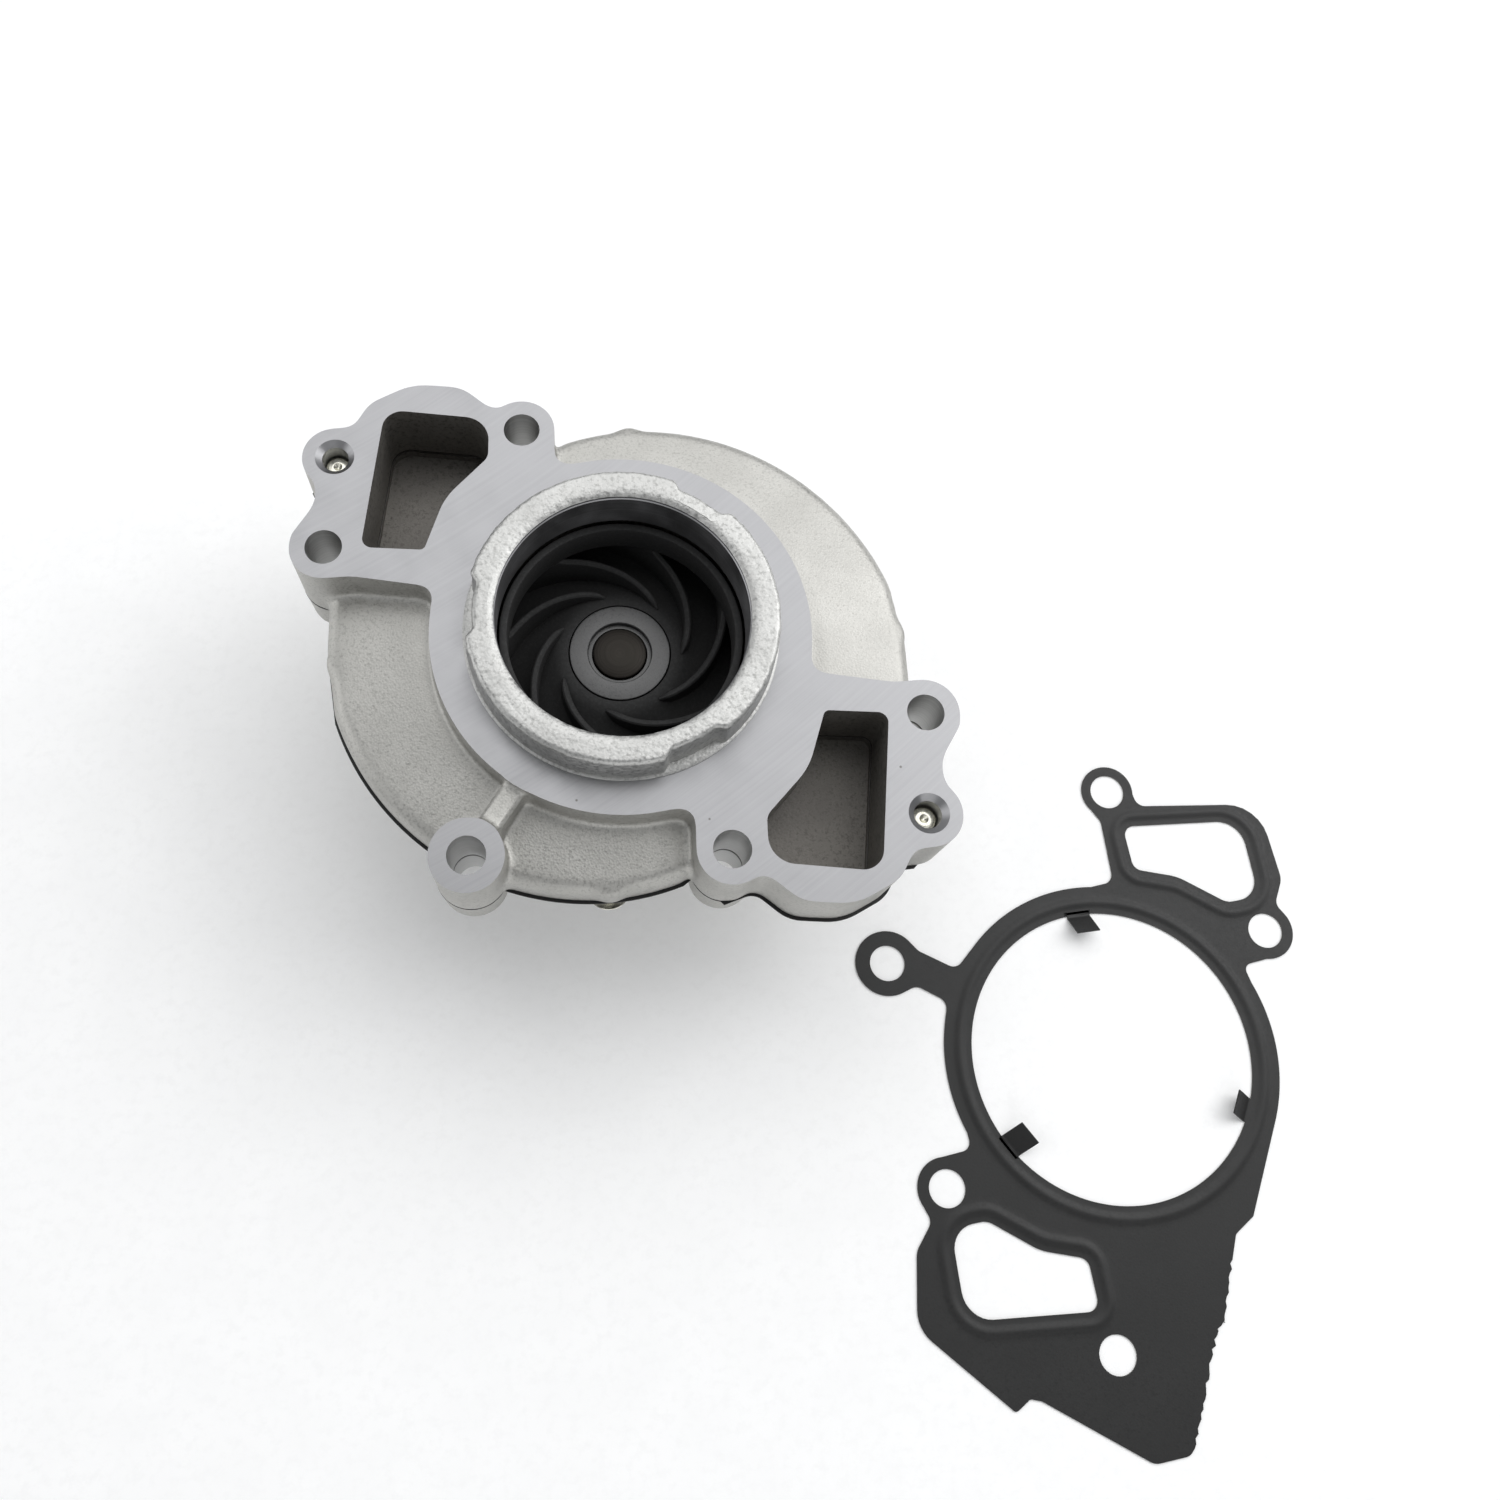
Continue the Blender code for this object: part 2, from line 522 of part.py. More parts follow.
def rear_cover():
    """Plate, bowl and bearing tower as one casting, with ribs from the tower to the rim."""
    body, lobe_a, lobe_b = sheet_outline(-COVER_INSET)
    top = COVER_Z
    cover = lofted("rear_cover", [(scaled(body, 0.97), PLATE_Z), (body, PLATE_Z + 2),
                                  (body, top)], CAST)
    join(cover, prism("body_cover_a", lobe_a, PLATE_Z + SINK, top - SINK),
         prism("body_cover_b", lobe_b, PLATE_Z + SINK, top - SINK))
    for i, place in enumerate(BOLT_HOLES):
        radius = ARM_EAR_R if place == ARM_EAR else BOLT_EAR_R
        join(cover, cylinder(f"body_cover_ear_{i}", place, radius - EAR_TAPER,
                             top - EAR_THICKNESS, top - 2 * SINK, top_radius=radius))
    bowl_r = CHAMBER_R + BOWL_WALL
    floor = CHAMBER_FLOOR_Z - BOWL_FLOOR
    join(cover, stacked("body_bowl", [(TOWER_R - 1.5, TOWER_FOOT_Z), (TOWER_R, TOWER_FOOT_Z + 1.5),
                                      (TOWER_R + 1, floor - 3), (TOWER_R + 4, floor),
                                      (bowl_r - 5, floor + 0.5), (bowl_r - 1, floor + 4),
                                      (bowl_r, top - 3 * SINK)]))
    foot = TOWER_FOOT_Z + 6
    inner = TOWER_R - TOWER_WALL / 2
    for i in range(COVER_RIBS):
        side = [(inner, foot), (TOWER_R + 0.6, foot), (bowl_r - 3.5, floor + 1),
                (inner, floor + 1)]
        join(cover, slab(f"body_cover_rib_{i}", COVER_RIB_WIDTH, side, 30 + i * 360 / COVER_RIBS))

    cut(cover, stacked("cut_cover_chamber", [(CHAMBER_R - 2, CHAMBER_FLOOR_Z),
                                             (CHAMBER_R, CHAMBER_FLOOR_Z + 2),
                                             (CHAMBER_R, top + OVERCUT)], segments=48))
    pocket = SEAL_R + GAP
    join(cover, turned("body_seal_rim", [(pocket - 1, CHAMBER_FLOOR_Z - 1),
                                         (pocket + 3.7, CHAMBER_FLOOR_Z - 1),
                                         (pocket + 3.1, SEAL_RIM_Z), (pocket - 1, SEAL_RIM_Z)]))
    lip = SHAFT_R + 5.04
    cut(cover, stacked("cut_tower", [(BEARING_R + GAP, TOWER_FOOT_Z - OVERCUT),
                                     (BEARING_R + GAP, BEARING_Z[1] + GAP),
                                     (lip, BEARING_Z[1] + GAP), (lip, SEAL_FLOOR_Z),
                                     (pocket, SEAL_FLOOR_Z), (pocket, top)]))
    port = rounded(PORT)
    throat = rounded(THROAT)
    for tag, turn in (("a", list), ("b", half_turn)):
        cut(cover,
            prism("cut_cover_port_" + tag, turn(port), top - PORT_FLOOR, top + OVERCUT),
            prism("cut_cover_throat_" + tag, turn(throat), top - PORT_FLOOR + SINK,
                  top + OVERCUT - SINK))
    drill(cover, top - EAR_THICKNESS - OVERCUT, top + OVERCUT)
    for i, place in enumerate(SCREW_PLACES):
        cut(cover, cylinder(f"cut_spot_{i}", place, SPOT_FACE_R, PLATE_Z - 14, PLATE_Z,
                            segments=16))
    outlet = TOWER_R + 9
    weep = [(lip - 3, SEAL_FLOOR_Z - 2.6), (outlet, SEAL_FLOOR_Z - 10),
            (outlet, SEAL_FLOOR_Z - 5.5), (lip - 3, SEAL_FLOOR_Z - 0.2)]
    cut(cover, slab("cut_weep", WEEP_WIDTH, weep, -90.0))
    return cover


def cover_screws():
    """Flanged hexagon screws put in from behind; two of them show through the mounting face."""
    seat = SCREW_SEAT_Z
    for i, place in enumerate(SCREW_PLACES):
        through = i < THROUGH_SCREWS
        end = FACE_Z - THROUGH_SCREW_SINK if through else JOINT_Z + RIM_SCREW_REACH
        head = seat - SCREW_HEAD_HEIGHT
        circle = [arc(place, r, 0, 360, 12)[:-1]
                  for r in (SCREW_HEX_R, SCREW_HEAD_R, SCREW_R, SCREW_R - SCREW_CHAMFER)]
        hexagon = [(place[0] + (x - place[0]) * hex_share(n), place[1] + (y - place[1]) * hex_share(n))
                   for n, (x, y) in enumerate(circle[0])]
        bevelled = [(place[0] + (x - place[0]) * 0.93, place[1] + (y - place[1]) * 0.93)
                    for x, y in hexagon]
        lofted(f"cover_screw_{i + 1}", [
            (bevelled, head), (hexagon, head + 0.5), (hexagon, seat - SCREW_FLANGE),
            (circle[1], seat - SCREW_FLANGE + 0.2), (circle[1], seat), (circle[2], seat),
            (circle[2], end - SCREW_CHAMFER), (circle[3], end)], ZINC)


def hex_share(n):
    """How far the n-th of 12 points round a hexagon lies out, as a share of its corner radius."""
    return 1.0 if n % 2 == 0 else math.cos(math.pi / 6)


# ---- rotor, bearing and seal ------------------------------------------------------------------
def shaft():
    groove = ROLLER_R * 0.9
    chamfer = 0.6
    profile = [(SHAFT_R - chamfer, 0.0), (SHAFT_R, chamfer), (SHAFT_R, BALL_ROW_Z - groove),
               (SHAFT_R - TRACK_DEPTH, BALL_ROW_Z), (SHAFT_R, BALL_ROW_Z + groove),
               (SHAFT_R, SHAFT_STEP_Z), (SHAFT_NOSE_R, SHAFT_STEP_Z),
               (SHAFT_NOSE_R, SHAFT_TOP_Z - chamfer), (SHAFT_NOSE_R - chamfer, SHAFT_TOP_Z)]
    return stacked("shaft", profile, STEEL, segments=24)


def bearing():
    low, high = BEARING_Z
    groove = ROLLER_R * 0.9
    recess = 2 * SINK
    chamfer = BEARING_CHAMFER
    shield_z = (low + recess, low + recess + SHIELD, high - recess - SHIELD, high - recess)
    seat_r = BEARING_BORE_R + chamfer
    turned("bearing_outer_ring", [
        (seat_r, low), (BEARING_R - chamfer, low), (BEARING_R, low + chamfer),
        (BEARING_R, high - chamfer), (BEARING_R - chamfer, high), (seat_r, high),
        (BEARING_BORE_R, shield_z[2] - GAP), (BEARING_BORE_R, BALL_ROW_Z + groove),
        (BEARING_BORE_R + TRACK_DEPTH, BALL_ROW_Z),
        (BEARING_BORE_R, BALL_ROW_Z - groove), (BEARING_BORE_R, shield_z[1] + GAP)],
        STEEL, segments=30)
    inner = SHAFT_R + GAP
    outer = BEARING_BORE_R - GAP
    for name, z in (("bearing_seal_lower", shield_z[0]), ("bearing_seal_upper", shield_z[2])):
        turned(name, [(inner, z), (outer, z), (outer, z + SHIELD), (inner, z + SHIELD)],
               RUBBER, segments=24)
    for i in range(ROW_COUNT):
        angle = 2 * math.pi * i / ROW_COUNT
        place = (ROW_R * math.cos(angle), ROW_R * math.sin(angle))
        ball = [(arc(place, ROLLER_R * math.cos(math.radians(t)), 0, 360, 10)[:-1],
                 BALL_ROW_Z + ROLLER_R * math.sin(math.radians(t)))
                for t in (-75, -40, 0, 40, 75)]
        lofted(f"ball_{i + 1}", ball, STEEL)
        half = ROLLER_LENGTH / 2
        roller = [(arc(place, r, 0, 360, 10)[:-1], ROLLER_ROW_Z + z)
                  for r, z in ((ROLLER_R - 0.3, -half), (ROLLER_R, 0.3 - half),
                               (ROLLER_R, half - 0.3), (ROLLER_R - 0.3, half))]
        lofted(f"roller_{i + 1}", roller, STEEL)


def cage(name, row_z, length):
    """A ring with one pocket for each ball or roller, open at the end away from its back."""
    low = row_z - length / 2 - GAP - CAGE_BACK
    high = row_z + length / 2 - 2 * GAP
    inner, outer = ROW_R - CAGE_WALL / 2, ROW_R + CAGE_WALL / 2
    ring = turned(name, [(inner, low), (outer, low), (outer, high), (inner, high)], PLASTIC,
                  segments=36)
    for i in range(ROW_COUNT):
        angle = 2 * math.pi * i / ROW_COUNT
        place = (ROW_R * math.cos(angle), ROW_R * math.sin(angle))
        cut(ring, cylinder(f"cut_{name}_{i}", place, ROLLER_R + GAP, low + CAGE_BACK,
                           high + OVERCUT, segments=12))
    return ring


def seal():
    """The stationary half sits in the cover, the seat turns with the shaft."""
    floor = SEAL_FLOOR_Z + GAP
    cup, rim = SEAL_CUP, SEAL_RIM_Z + GAP
    bore = SHAFT_R + 3.04
    turned("seal_cup", [(bore, floor), (SEAL_R, floor), (SEAL_R, rim), (SEAL_R + SEAL_CUP_LIP, rim),
                        (SEAL_R + SEAL_CUP_LIP, rim + cup), (SEAL_R - cup, rim + cup),
                        (SEAL_R - cup, floor + cup), (bore, floor + cup)], BRASS, segments=24)
    base = floor + cup + GAP
    top = CARBON_Z - GAP
    middle, fold = (base + top) / 2, 1.0
    inner, outer = SHAFT_R + 1.24, SHAFT_R + 4.64
    turned("seal_bellows", [(inner, base), (outer, base), (outer - fold / 2, middle - fold),
                            (outer + fold / 2, middle), (outer - fold / 2, middle + fold),
                            (outer, top), (inner, top), (inner, middle + fold),
                            (inner + fold, middle), (inner, middle - fold)], RUBBER, segments=24)
    seal_spring(base + 0.7, top - 0.9)
    face, high = SHAFT_R + 5.44, CARBON_Z + CARBON_HEIGHT
    turned("carbon_ring", [(SHAFT_R + 1.04, CARBON_Z), (face, CARBON_Z), (face, high - 0.8),
                           (face - 1.2, high), (SHAFT_R + 1.04, high)], CARBON, segments=24)
    bore, outer = SHAFT_R + GAP, SHAFT_R + 5.64
    turned("seal_seat", [(bore, SEAT_Z), (outer, SEAT_Z), (outer, SEAT_TOP_Z), (bore, SEAT_TOP_Z)],
           CERAMIC, segments=24)
    low, high = SEAT_TOP_Z + GAP, SEAT_TOP_Z + GAP + 0.7
    skirt, wall = SEAT_Z + 0.6, outer + GAP
    turned("seat_cup", [(bore, low), (wall, low), (wall, skirt), (wall + 1.3, skirt),
                        (wall + 1.3, high), (bore, high)], RUBBER, segments=24)
    low, high = BEARING_Z[1] + 1.2, BEARING_Z[1] + 2.4
    turned("slinger", [(bore, low), (SHAFT_R + 3.24, low), (SHAFT_R + 3.24, high - 0.4),
                       (SHAFT_R + 1.2, high), (bore, high)], RUBBER, segments=24)


def seal_spring(low, high):
    """A short coil spring as a bevelled helix with plain ends."""
    per_turn, coil_r = 12, SHAFT_R + 6.64
    wire = bpy.data.curves.new("seal_spring", "CURVE")
    wire.dimensions = "3D"
    wire.bevel_depth = SPRING_WIRE_R * MM
    wire.bevel_resolution = 1
    wire.use_fill_caps = True
    steps = SPRING_TURNS * per_turn
    line = wire.splines.new("POLY")
    line.points.add(steps)
    for i, point in enumerate(line.points):
        angle = 2 * math.pi * i / per_turn
        height = low + (high - low) * i / steps
        point.co = (coil_r * math.cos(angle) * MM, coil_r * math.sin(angle) * MM, height * MM, 1)
    wire.materials.append(STEEL)
    bpy.context.collection.objects.link(bpy.data.objects.new("seal_spring", wire))


def above_joint(*points):
    """(radius, height above the joint) points at their heights in the part."""
    return [(radius, JOINT_Z + height) for radius, height in points]


BACK_PLATE_TOP = above_joint((INSERT_R + GAP, 3.5), (INSERT_R + 1.9, 3.4), (INSERT_R + 5.4, 1.0),
                             (INSERT_R + 11.4, -2.6), (INSERT_R + 19.4, -5.4), (IMPELLER_R, -7.0))
SHROUD_UNDER = above_joint((EYE_R, 7.7), (EYE_R + 1.0, 5.8),
                           (between(EYE_R, IMPELLER_R, 0.2), 4.2),
                           (between(EYE_R, IMPELLER_R, 0.48), 2.4), (IMPELLER_R, 1.1))


def height_on(line, radius):
    """Height of a falling (radius, height) line at one radius."""
    for (r0, z0), (r1, z1) in zip(line, line[1:]):
        if radius <= r1:
            return z0 + (z1 - z0) * (radius - r0) / (r1 - r0)
    return line[-1][1]


def vane(i):
    """One backward-swept vane, a little sunk into the back plate and the shroud."""
    leading = above_joint((VANE_START_R, 4.4), (EYE_R, 6.6))
    bm = bmesh.new()
    rings = []
    tip = IMPELLER_R - 0.4
    for k in range(VANE_STATIONS + 1):
        radius = VANE_START_R * (tip / VANE_START_R) ** (k / VANE_STATIONS)
        angle = 2 * math.pi * i / VANES + VANE_SWEEP * math.log(radius / VANE_START_R)
        low = height_on(BACK_PLATE_TOP, radius) - 0.8
        inside = radius < EYE_R
        high = height_on(leading, radius) if inside else height_on(SHROUD_UNDER, radius) + 0.7
        if k == 0:
            high -= 1.0
        out = Vector((math.cos(angle), math.sin(angle), 0))
        along = Vector((-out.y, out.x, 0)) * VANE_SWEEP + out
        across = Vector((-along.y, along.x, 0)).normalized() * VANE_THICKNESS / 2
        middle = out * radius
        rings.append([bm.verts.new(middle + across * s + Vector((0, 0, z)))
                      for s, z in ((-1, low), (1, low), (0.7, high), (-0.7, high))])
    for last, ring in zip(rings, rings[1:]):
        for k in range(4):
            bm.faces.new((last[k - 1], last[k], ring[k], ring[k - 1]))
    bm.faces.new(rings[0])
    bm.faces.new(rings[-1])
    return make_object(f"body_vane_{i}", bm, None)


def impeller():
    foot = SEAT_TOP_Z + GAP + 1.2 - JOINT_Z
    under = above_joint((INSERT_R + GAP, foot), (INSERT_R + 3.4, foot), (INSERT_R + 3.4, -3.8),
                        (INSERT_R + 5.9, -4.3), (INSERT_R + 11.4, -6.6), (INSERT_R + 17.4, -9.0),
                        (IMPELLER_R, -9.4))
    wheel = turned("impeller", under + BACK_PLATE_TOP[::-1], PLASTIC, segments=40)
    outer, bevel = EYE_R + EYE_WALL, 0.3
    shroud = SHROUD_UNDER + above_joint(
        (IMPELLER_R, 3.1), (between(EYE_R, IMPELLER_R, 0.54), 4.8),
        (between(EYE_R, IMPELLER_R, 0.28), 6.8), (outer, 9.6))
    shroud += [(outer, EYE_TOP_Z - bevel), (outer - bevel, EYE_TOP_Z), (EYE_R + bevel, EYE_TOP_Z),
               (EYE_R, EYE_TOP_Z - bevel)]
    join(wheel, turned("body_shroud", shroud, segments=40))
    join(wheel, *[vane(i) for i in range(VANES)])
    bore, groove, low = SHAFT_NOSE_R + GAP, 0.9, SHAFT_STEP_Z + GAP
    turned("impeller_insert", [(bore, low), (INSERT_R, low), (INSERT_R, INSERT_TOP_Z),
                               (bore + groove, INSERT_TOP_Z), (bore + groove, INSERT_TOP_Z - 1.4),
                               (bore, INSERT_TOP_Z - 1.4)], STEEL, segments=32)
    return wheel


def pulley_hub():
    bore = SHAFT_R + GAP
    hub = turned("pulley_hub", [
        (bore, 0.0), (HUB_R - HUB_CHAMFER, 0.0), (HUB_R, HUB_CHAMFER),
        (HUB_R, HUB_THICKNESS - HUB_CHAMFER), (HUB_R - HUB_CHAMFER, HUB_THICKNESS),
        (HUB_BOSS_R + 3, HUB_THICKNESS),
        (HUB_BOSS_R, HUB_THICKNESS + 2.5), (HUB_BOSS_R, HUB_TOP_Z), (bore, HUB_TOP_Z)],
        STEEL, segments=40)
    for i in range(PULLEY_HOLES):
        angle = math.radians(90 + 360 * i / PULLEY_HOLES)
        place = (PULLEY_HOLE_CIRCLE_R * math.cos(angle), PULLEY_HOLE_CIRCLE_R * math.sin(angle))
        cut(hub, cylinder(f"cut_pulley_{i}", place, PULLEY_HOLE_R, -OVERCUT,
                          HUB_THICKNESS + OVERCUT, segments=15))
    return hub


# ---- loose gasket -----------------------------------------------------------------------------
def gasket_outline():
    """Outer edge in the pump's own bolt pattern: ring, port loops, arm and torn-off web."""
    ring = GASKET_RING_R[1]
    ear = GASKET_EAR_R
    top_ear, left_ear = BOLT_EARS
    low_ear = half_turn([top_ear])[0]
    points = bent((97.8, -19.5, 0), (97.8, -9.5, 3), (71.5, 6.3, 1), (70.0, 8.6, 1),
                  (50.5, 18.8, 2), (47.2, 24.9, 1), (33.0, 33.8, 0))
    points += arc((0, 0), ring, 58, 104, 8)
    points += bent((-12.0, 45.0, 0), (-16.6, 44.6, 2), (-16.7, 52.0, 0))
    points += arc(top_ear, ear, -15, 112, 7)
    points += bent((-27.6, 61.5, 0), (-31.4, 59.6, 3), (-38.0, 63.9, 6), (-60.5, 64.5, 11),
                   (-66.4, 28.6, 3), (-70.0, 28.6, 0))
    points += arc(left_ear, ear - 0.4, 75, 305, 11)
    points += bent((-67.6, 14.8, 0), (-64.0, 16.8, 3), (-46.2, 15.0, 3), (-45.9, 8.0, 0))
    points += arc((0, 0), ring, 170, 220, 8)
    points += bent((-34.5, -31.4, 0), (-30.6, -36.4, 3), (-37.4, -45.6, 3), (-41.0, -47.8, 0))
    points += arc(ARM_EAR, ear + 1, 118, 375, 13)
    points += bent((-27.2, -52.0, 0), (-28.2, -48.6, 3), (-22.4, -41.2, 3), (-17.0, -43.4, 0))
    points += arc((0, 0), ring, 249, 285, 6)
    points += bent((12.0, -45.0, 0), (16.4, -45.0, 2.5), (16.5, -52.0, 0))
    points += arc(low_ear, ear, 175, 292, 6)
    points += bent((27.6, -61.5, 0), (31.8, -60.2, 3), (38.0, -66.0, 6), (56.0, -70.6, 9),
                   (79.6, -50.8, 1), (77.3, -46.4, 1), (78.4, -43.6, 1), (97.8, -19.5, 4),
                   (97.8, -9.5, 0))
    return points


def to_bench(points):
    """From the pump's bolt pattern to where the gasket lies."""
    turn = math.radians(GASKET_TURN)
    c, s = math.cos(turn), math.sin(turn)
    return [(GASKET_PLACE[0] + c * x - s * y, GASKET_PLACE[1] + s * x + c * y) for x, y in points]


def mounting_gasket():
    thick = GASKET_THICKNESS
    low, high = -OVERCUT, thick + OVERCUT
    gasket = prism("mounting_gasket", to_bench(gasket_outline()), 0.0, thick, COATED)
    cut(gasket, cylinder("cut_gasket_ring", GASKET_PLACE, GASKET_RING_R[0], low, high, segments=40))
    for i, angle in enumerate(NOTCH_ANGLES):
        turn = math.radians(angle + GASKET_TURN)
        lean = math.radians(TAB_LEAN)
        root = GASKET_RING_R[0] + 0.6
        run, rise = TAB_LENGTH * math.cos(lean), TAB_LENGTH * math.sin(lean)
        side = [(root + 1.4, SINK), (root + 1.4, thick - SINK), (root, thick + SINK),
                (root - run, thick + rise), (root - run, rise), (root - 0.4, SINK)]
        tab = slab(f"body_tab_{i}", TAB_WIDTH, side, math.degrees(turn))
        tab.location = (GASKET_PLACE[0] * MM, GASKET_PLACE[1] * MM, 0)
        join(gasket, tab)
    port = rounded(GASKET_PORT)
    for i, outline in enumerate((port, half_turn(port))):
        cut(gasket, prism(f"cut_gasket_port_{i}", to_bench(outline), low, high))
    for i, place in enumerate(BOLT_HOLES):
        cut(gasket, cylinder(f"cut_gasket_hole_{i}", to_bench([place])[0], GASKET_HOLE_R, low, high,
                             segments=14))
    return gasket


front_housing()
joint_sheet()
rear_cover()
cover_screws()
shaft()
bearing()
cage("ball_cage", BALL_ROW_Z, 2 * ROLLER_R)
cage("roller_cage", ROLLER_ROW_Z, ROLLER_LENGTH)
seal()
impeller()
pulley_hub()
mounting_gasket()
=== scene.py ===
"""Looks of the engine coolant pump and its loose gasket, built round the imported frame.

Sizes are millimetres in the part's own frame: +Z is the shaft axis from the pulley hub up to the
inlet snout, and the pump stands on its hub at Z 0.
"""
import math
import random

import bmesh
import bpy
import numpy as np
from mathutils import Matrix, Vector, geometry, noise


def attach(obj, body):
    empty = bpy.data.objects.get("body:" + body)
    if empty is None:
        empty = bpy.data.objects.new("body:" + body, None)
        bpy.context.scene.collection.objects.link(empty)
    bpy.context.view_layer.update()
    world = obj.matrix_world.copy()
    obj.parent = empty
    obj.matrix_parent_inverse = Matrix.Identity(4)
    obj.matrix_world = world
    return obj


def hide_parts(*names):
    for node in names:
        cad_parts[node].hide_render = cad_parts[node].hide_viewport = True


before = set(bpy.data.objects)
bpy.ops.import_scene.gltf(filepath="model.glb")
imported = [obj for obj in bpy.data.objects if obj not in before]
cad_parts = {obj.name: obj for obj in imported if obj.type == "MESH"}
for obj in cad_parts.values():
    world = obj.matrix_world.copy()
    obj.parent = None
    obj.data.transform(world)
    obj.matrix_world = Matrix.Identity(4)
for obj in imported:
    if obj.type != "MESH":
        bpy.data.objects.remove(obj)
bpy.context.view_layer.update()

MM = 0.001
GAP = 0.3                  # clearance between pieces that touch
OVERCUT = 3.0              # how far a cutter runs past the face it opens
STOCK = 4.0                # metal cast above each face for the mill to take off
MILL_R = 120.0             # reach of the face mill
STEP = 0.1                 # offset between joined solids, so that no two faces coincide

# ---- sizes of the pump, as in the frame ---------------------------------------------------------
FACE_Z = 75.0              # machined mounting face
JOINT_Z = 55.8             # underside of the front casting
SHEET_Z = (55.0, 55.5)
SHEET_PROUD = 0.77         # the joint sheet shows past the front casting
COVER_INSET = 1.6          # and the rear casting stands back from it
COVER_Z = 54.7             # top of the rear casting
PLATE_Z = 47.2             # underside of its rim
EAR_FOOT_Z = 42.9          # underside of its bolt bosses
PORT_FLOOR_Z = 52.4
SHOULDER_Z = 66.5          # as-cast top of the volute
RIM_Z = 85.7               # top of the inlet snout
ANNULUS_R = 46.0
ROOT_R = 38.4              # foot of the snout, with the thin step that the face mill leaves
RIM_R = 37.3
BORE_R = 30.0
NOTCH_ANGLES = (57.0, 177.0, 297.0)
NOTCH_HALF = 7.2           # middle of the notch to the middle of its soft shoulder
NOTCH_SOFT = 2.6
NOTCH_DEPTH = 1.9
VOLUTE_START, VOLUTE_END = 104.0, 14.0
VOLUTE_START_R, VOLUTE_END_R = 59.6, 71.6
VOLUTE_STEPS = 45
FLANK_END = ((72.2, 0.5), (72.4, -12.0))
CHAMBER_R = 47.5
BOLT_EARS = ((-24.65, 54.1), (-72.1, 21.2))
BOLT_EAR_R = 8.3
BOLT_HOLE_R = 4.5
ARM_EAR = (-35.7, -55.1)
ARM_EAR_R = 8.75
RIB_WIDTH = 5.6
RIB_TOP_Z = 73.8
SCREW_EAR = (-70.8, 45.9)
SCREW_EAR_R = 8.05
RIM_SCREWS = ((66.5, 4.0), (41.5, 41.5), (3.0, 57.0))
RIM_BOSS_R = 5.6
THROUGH_SCREWS = 2         # the first screws reach up to the mounting face
SCREW_R = 3.0
COUNTERSINK_R = 4.85
HEX_R = 4.6                # corners of the screw's hexagon
HEAD_R = 5.5               # its flange
HEAD_HEIGHT = 6.0
SPOT_FACE_R = 6.4
SPOKES = 6
SPOKE_WIDTH = 4.0
WEEP_WIDTH = 3.0
TOWER_R = 24.0
TOWER_FOOT_Z = 13.0
CHAMBER_FLOOR_Z = 42.0
BEARING_R = 19.05
BEARING_Z = (12.6, 38.4)
SEAL_R = 17.3
SEAL_FLOOR_Z = 41.5
SEAL_RIM_Z = 46.0
SHAFT_R = 7.96
BALL_TRACK_Z = (17.0, 21.8)
TRACK_DEPTH = 0.25
NOSE_R = 6.7
SHAFT_STEP_Z = 54.3
SHAFT_TOP_Z = 59.2
INSERT_R = 12.6
INSERT_TOP_Z = 59.6
IMPELLER_R = 45.0
EYE_R = 27.6
EYE_TOP_Z = 72.3
VANES = 7
VANE_SWEEP = 2.1           # turn in radians for each unit of ln(radius)
VANE_HALF = 1.1            # half its thickness
HUB_R = 36.0
PULLEY_HOLES = 3
PULLEY_CIRCLE_R = 25.0
GASKET_PLACE = (136.0, -95.0)
GASKET_TURN = -80.0
RING_R = (39.0, 46.6)      # gasket ring, inside and out
GASKET_HOLE_R = 4.9
GASKET_EAR_R = 7.97
GASKET_THICKNESS = 0.35
BEAD_HALF = 2.0
BEAD_HEIGHT = 0.42
TAB_WIDTH = 6.6
TAB_LENGTH = 4.6           # along each axis, past the bend
TAB_BEND_R = 1.4
TAB_LEAN = 45.0
TORN_EDGE = ((97.0, -9.5), (47.2, 24.9))

LOBE = ((-3.0, 45.9, 0), (-16.4, 43.9, 3.5), (-16.4, 54.1, 0), (-24.65, 62.3, 0), (-32.0, 59.6, 5),
        (-40.0, 66.2, 9), (-52.5, 66.9, 14), (-63.0, 61.2, 8), (-66.6, 54.4, 4), (-70.8, 53.9, 0),
        (-78.8, 45.9, 0), (-73.6, 34.8, 9), (-80.3, 24.0, 0), (-72.1, 12.9, 0), (-65.0, 13.5, 8),
        (-45.2, 10.8, 3.5), (-45.9, 3.0, 0))
PORT = ((-63.2, 21.2, 2.5), (-47.9, 20.6, 1.5), (-43.3, 34.8, 18), (-32.9, 46.2, 4),
        (-32.9, 57.1, 6.5), (-59.0, 59.5, 5))
GASKET_PORT = ((-61.3, 22.6, 3), (-48.6, 22.0, 3), (-44.2, 33.9, 14), (-34.4, 45.8, 5),
               (-34.4, 55.8, 6.5), (-56.8, 57.6, 7.5))
THROAT = ((-58, 30, 0), (-38, 14, 0), (-22, 30, 0), (-38, 50, 0))
THROAT_RISE = 6.0          # way from the chamber into a port, above the joint


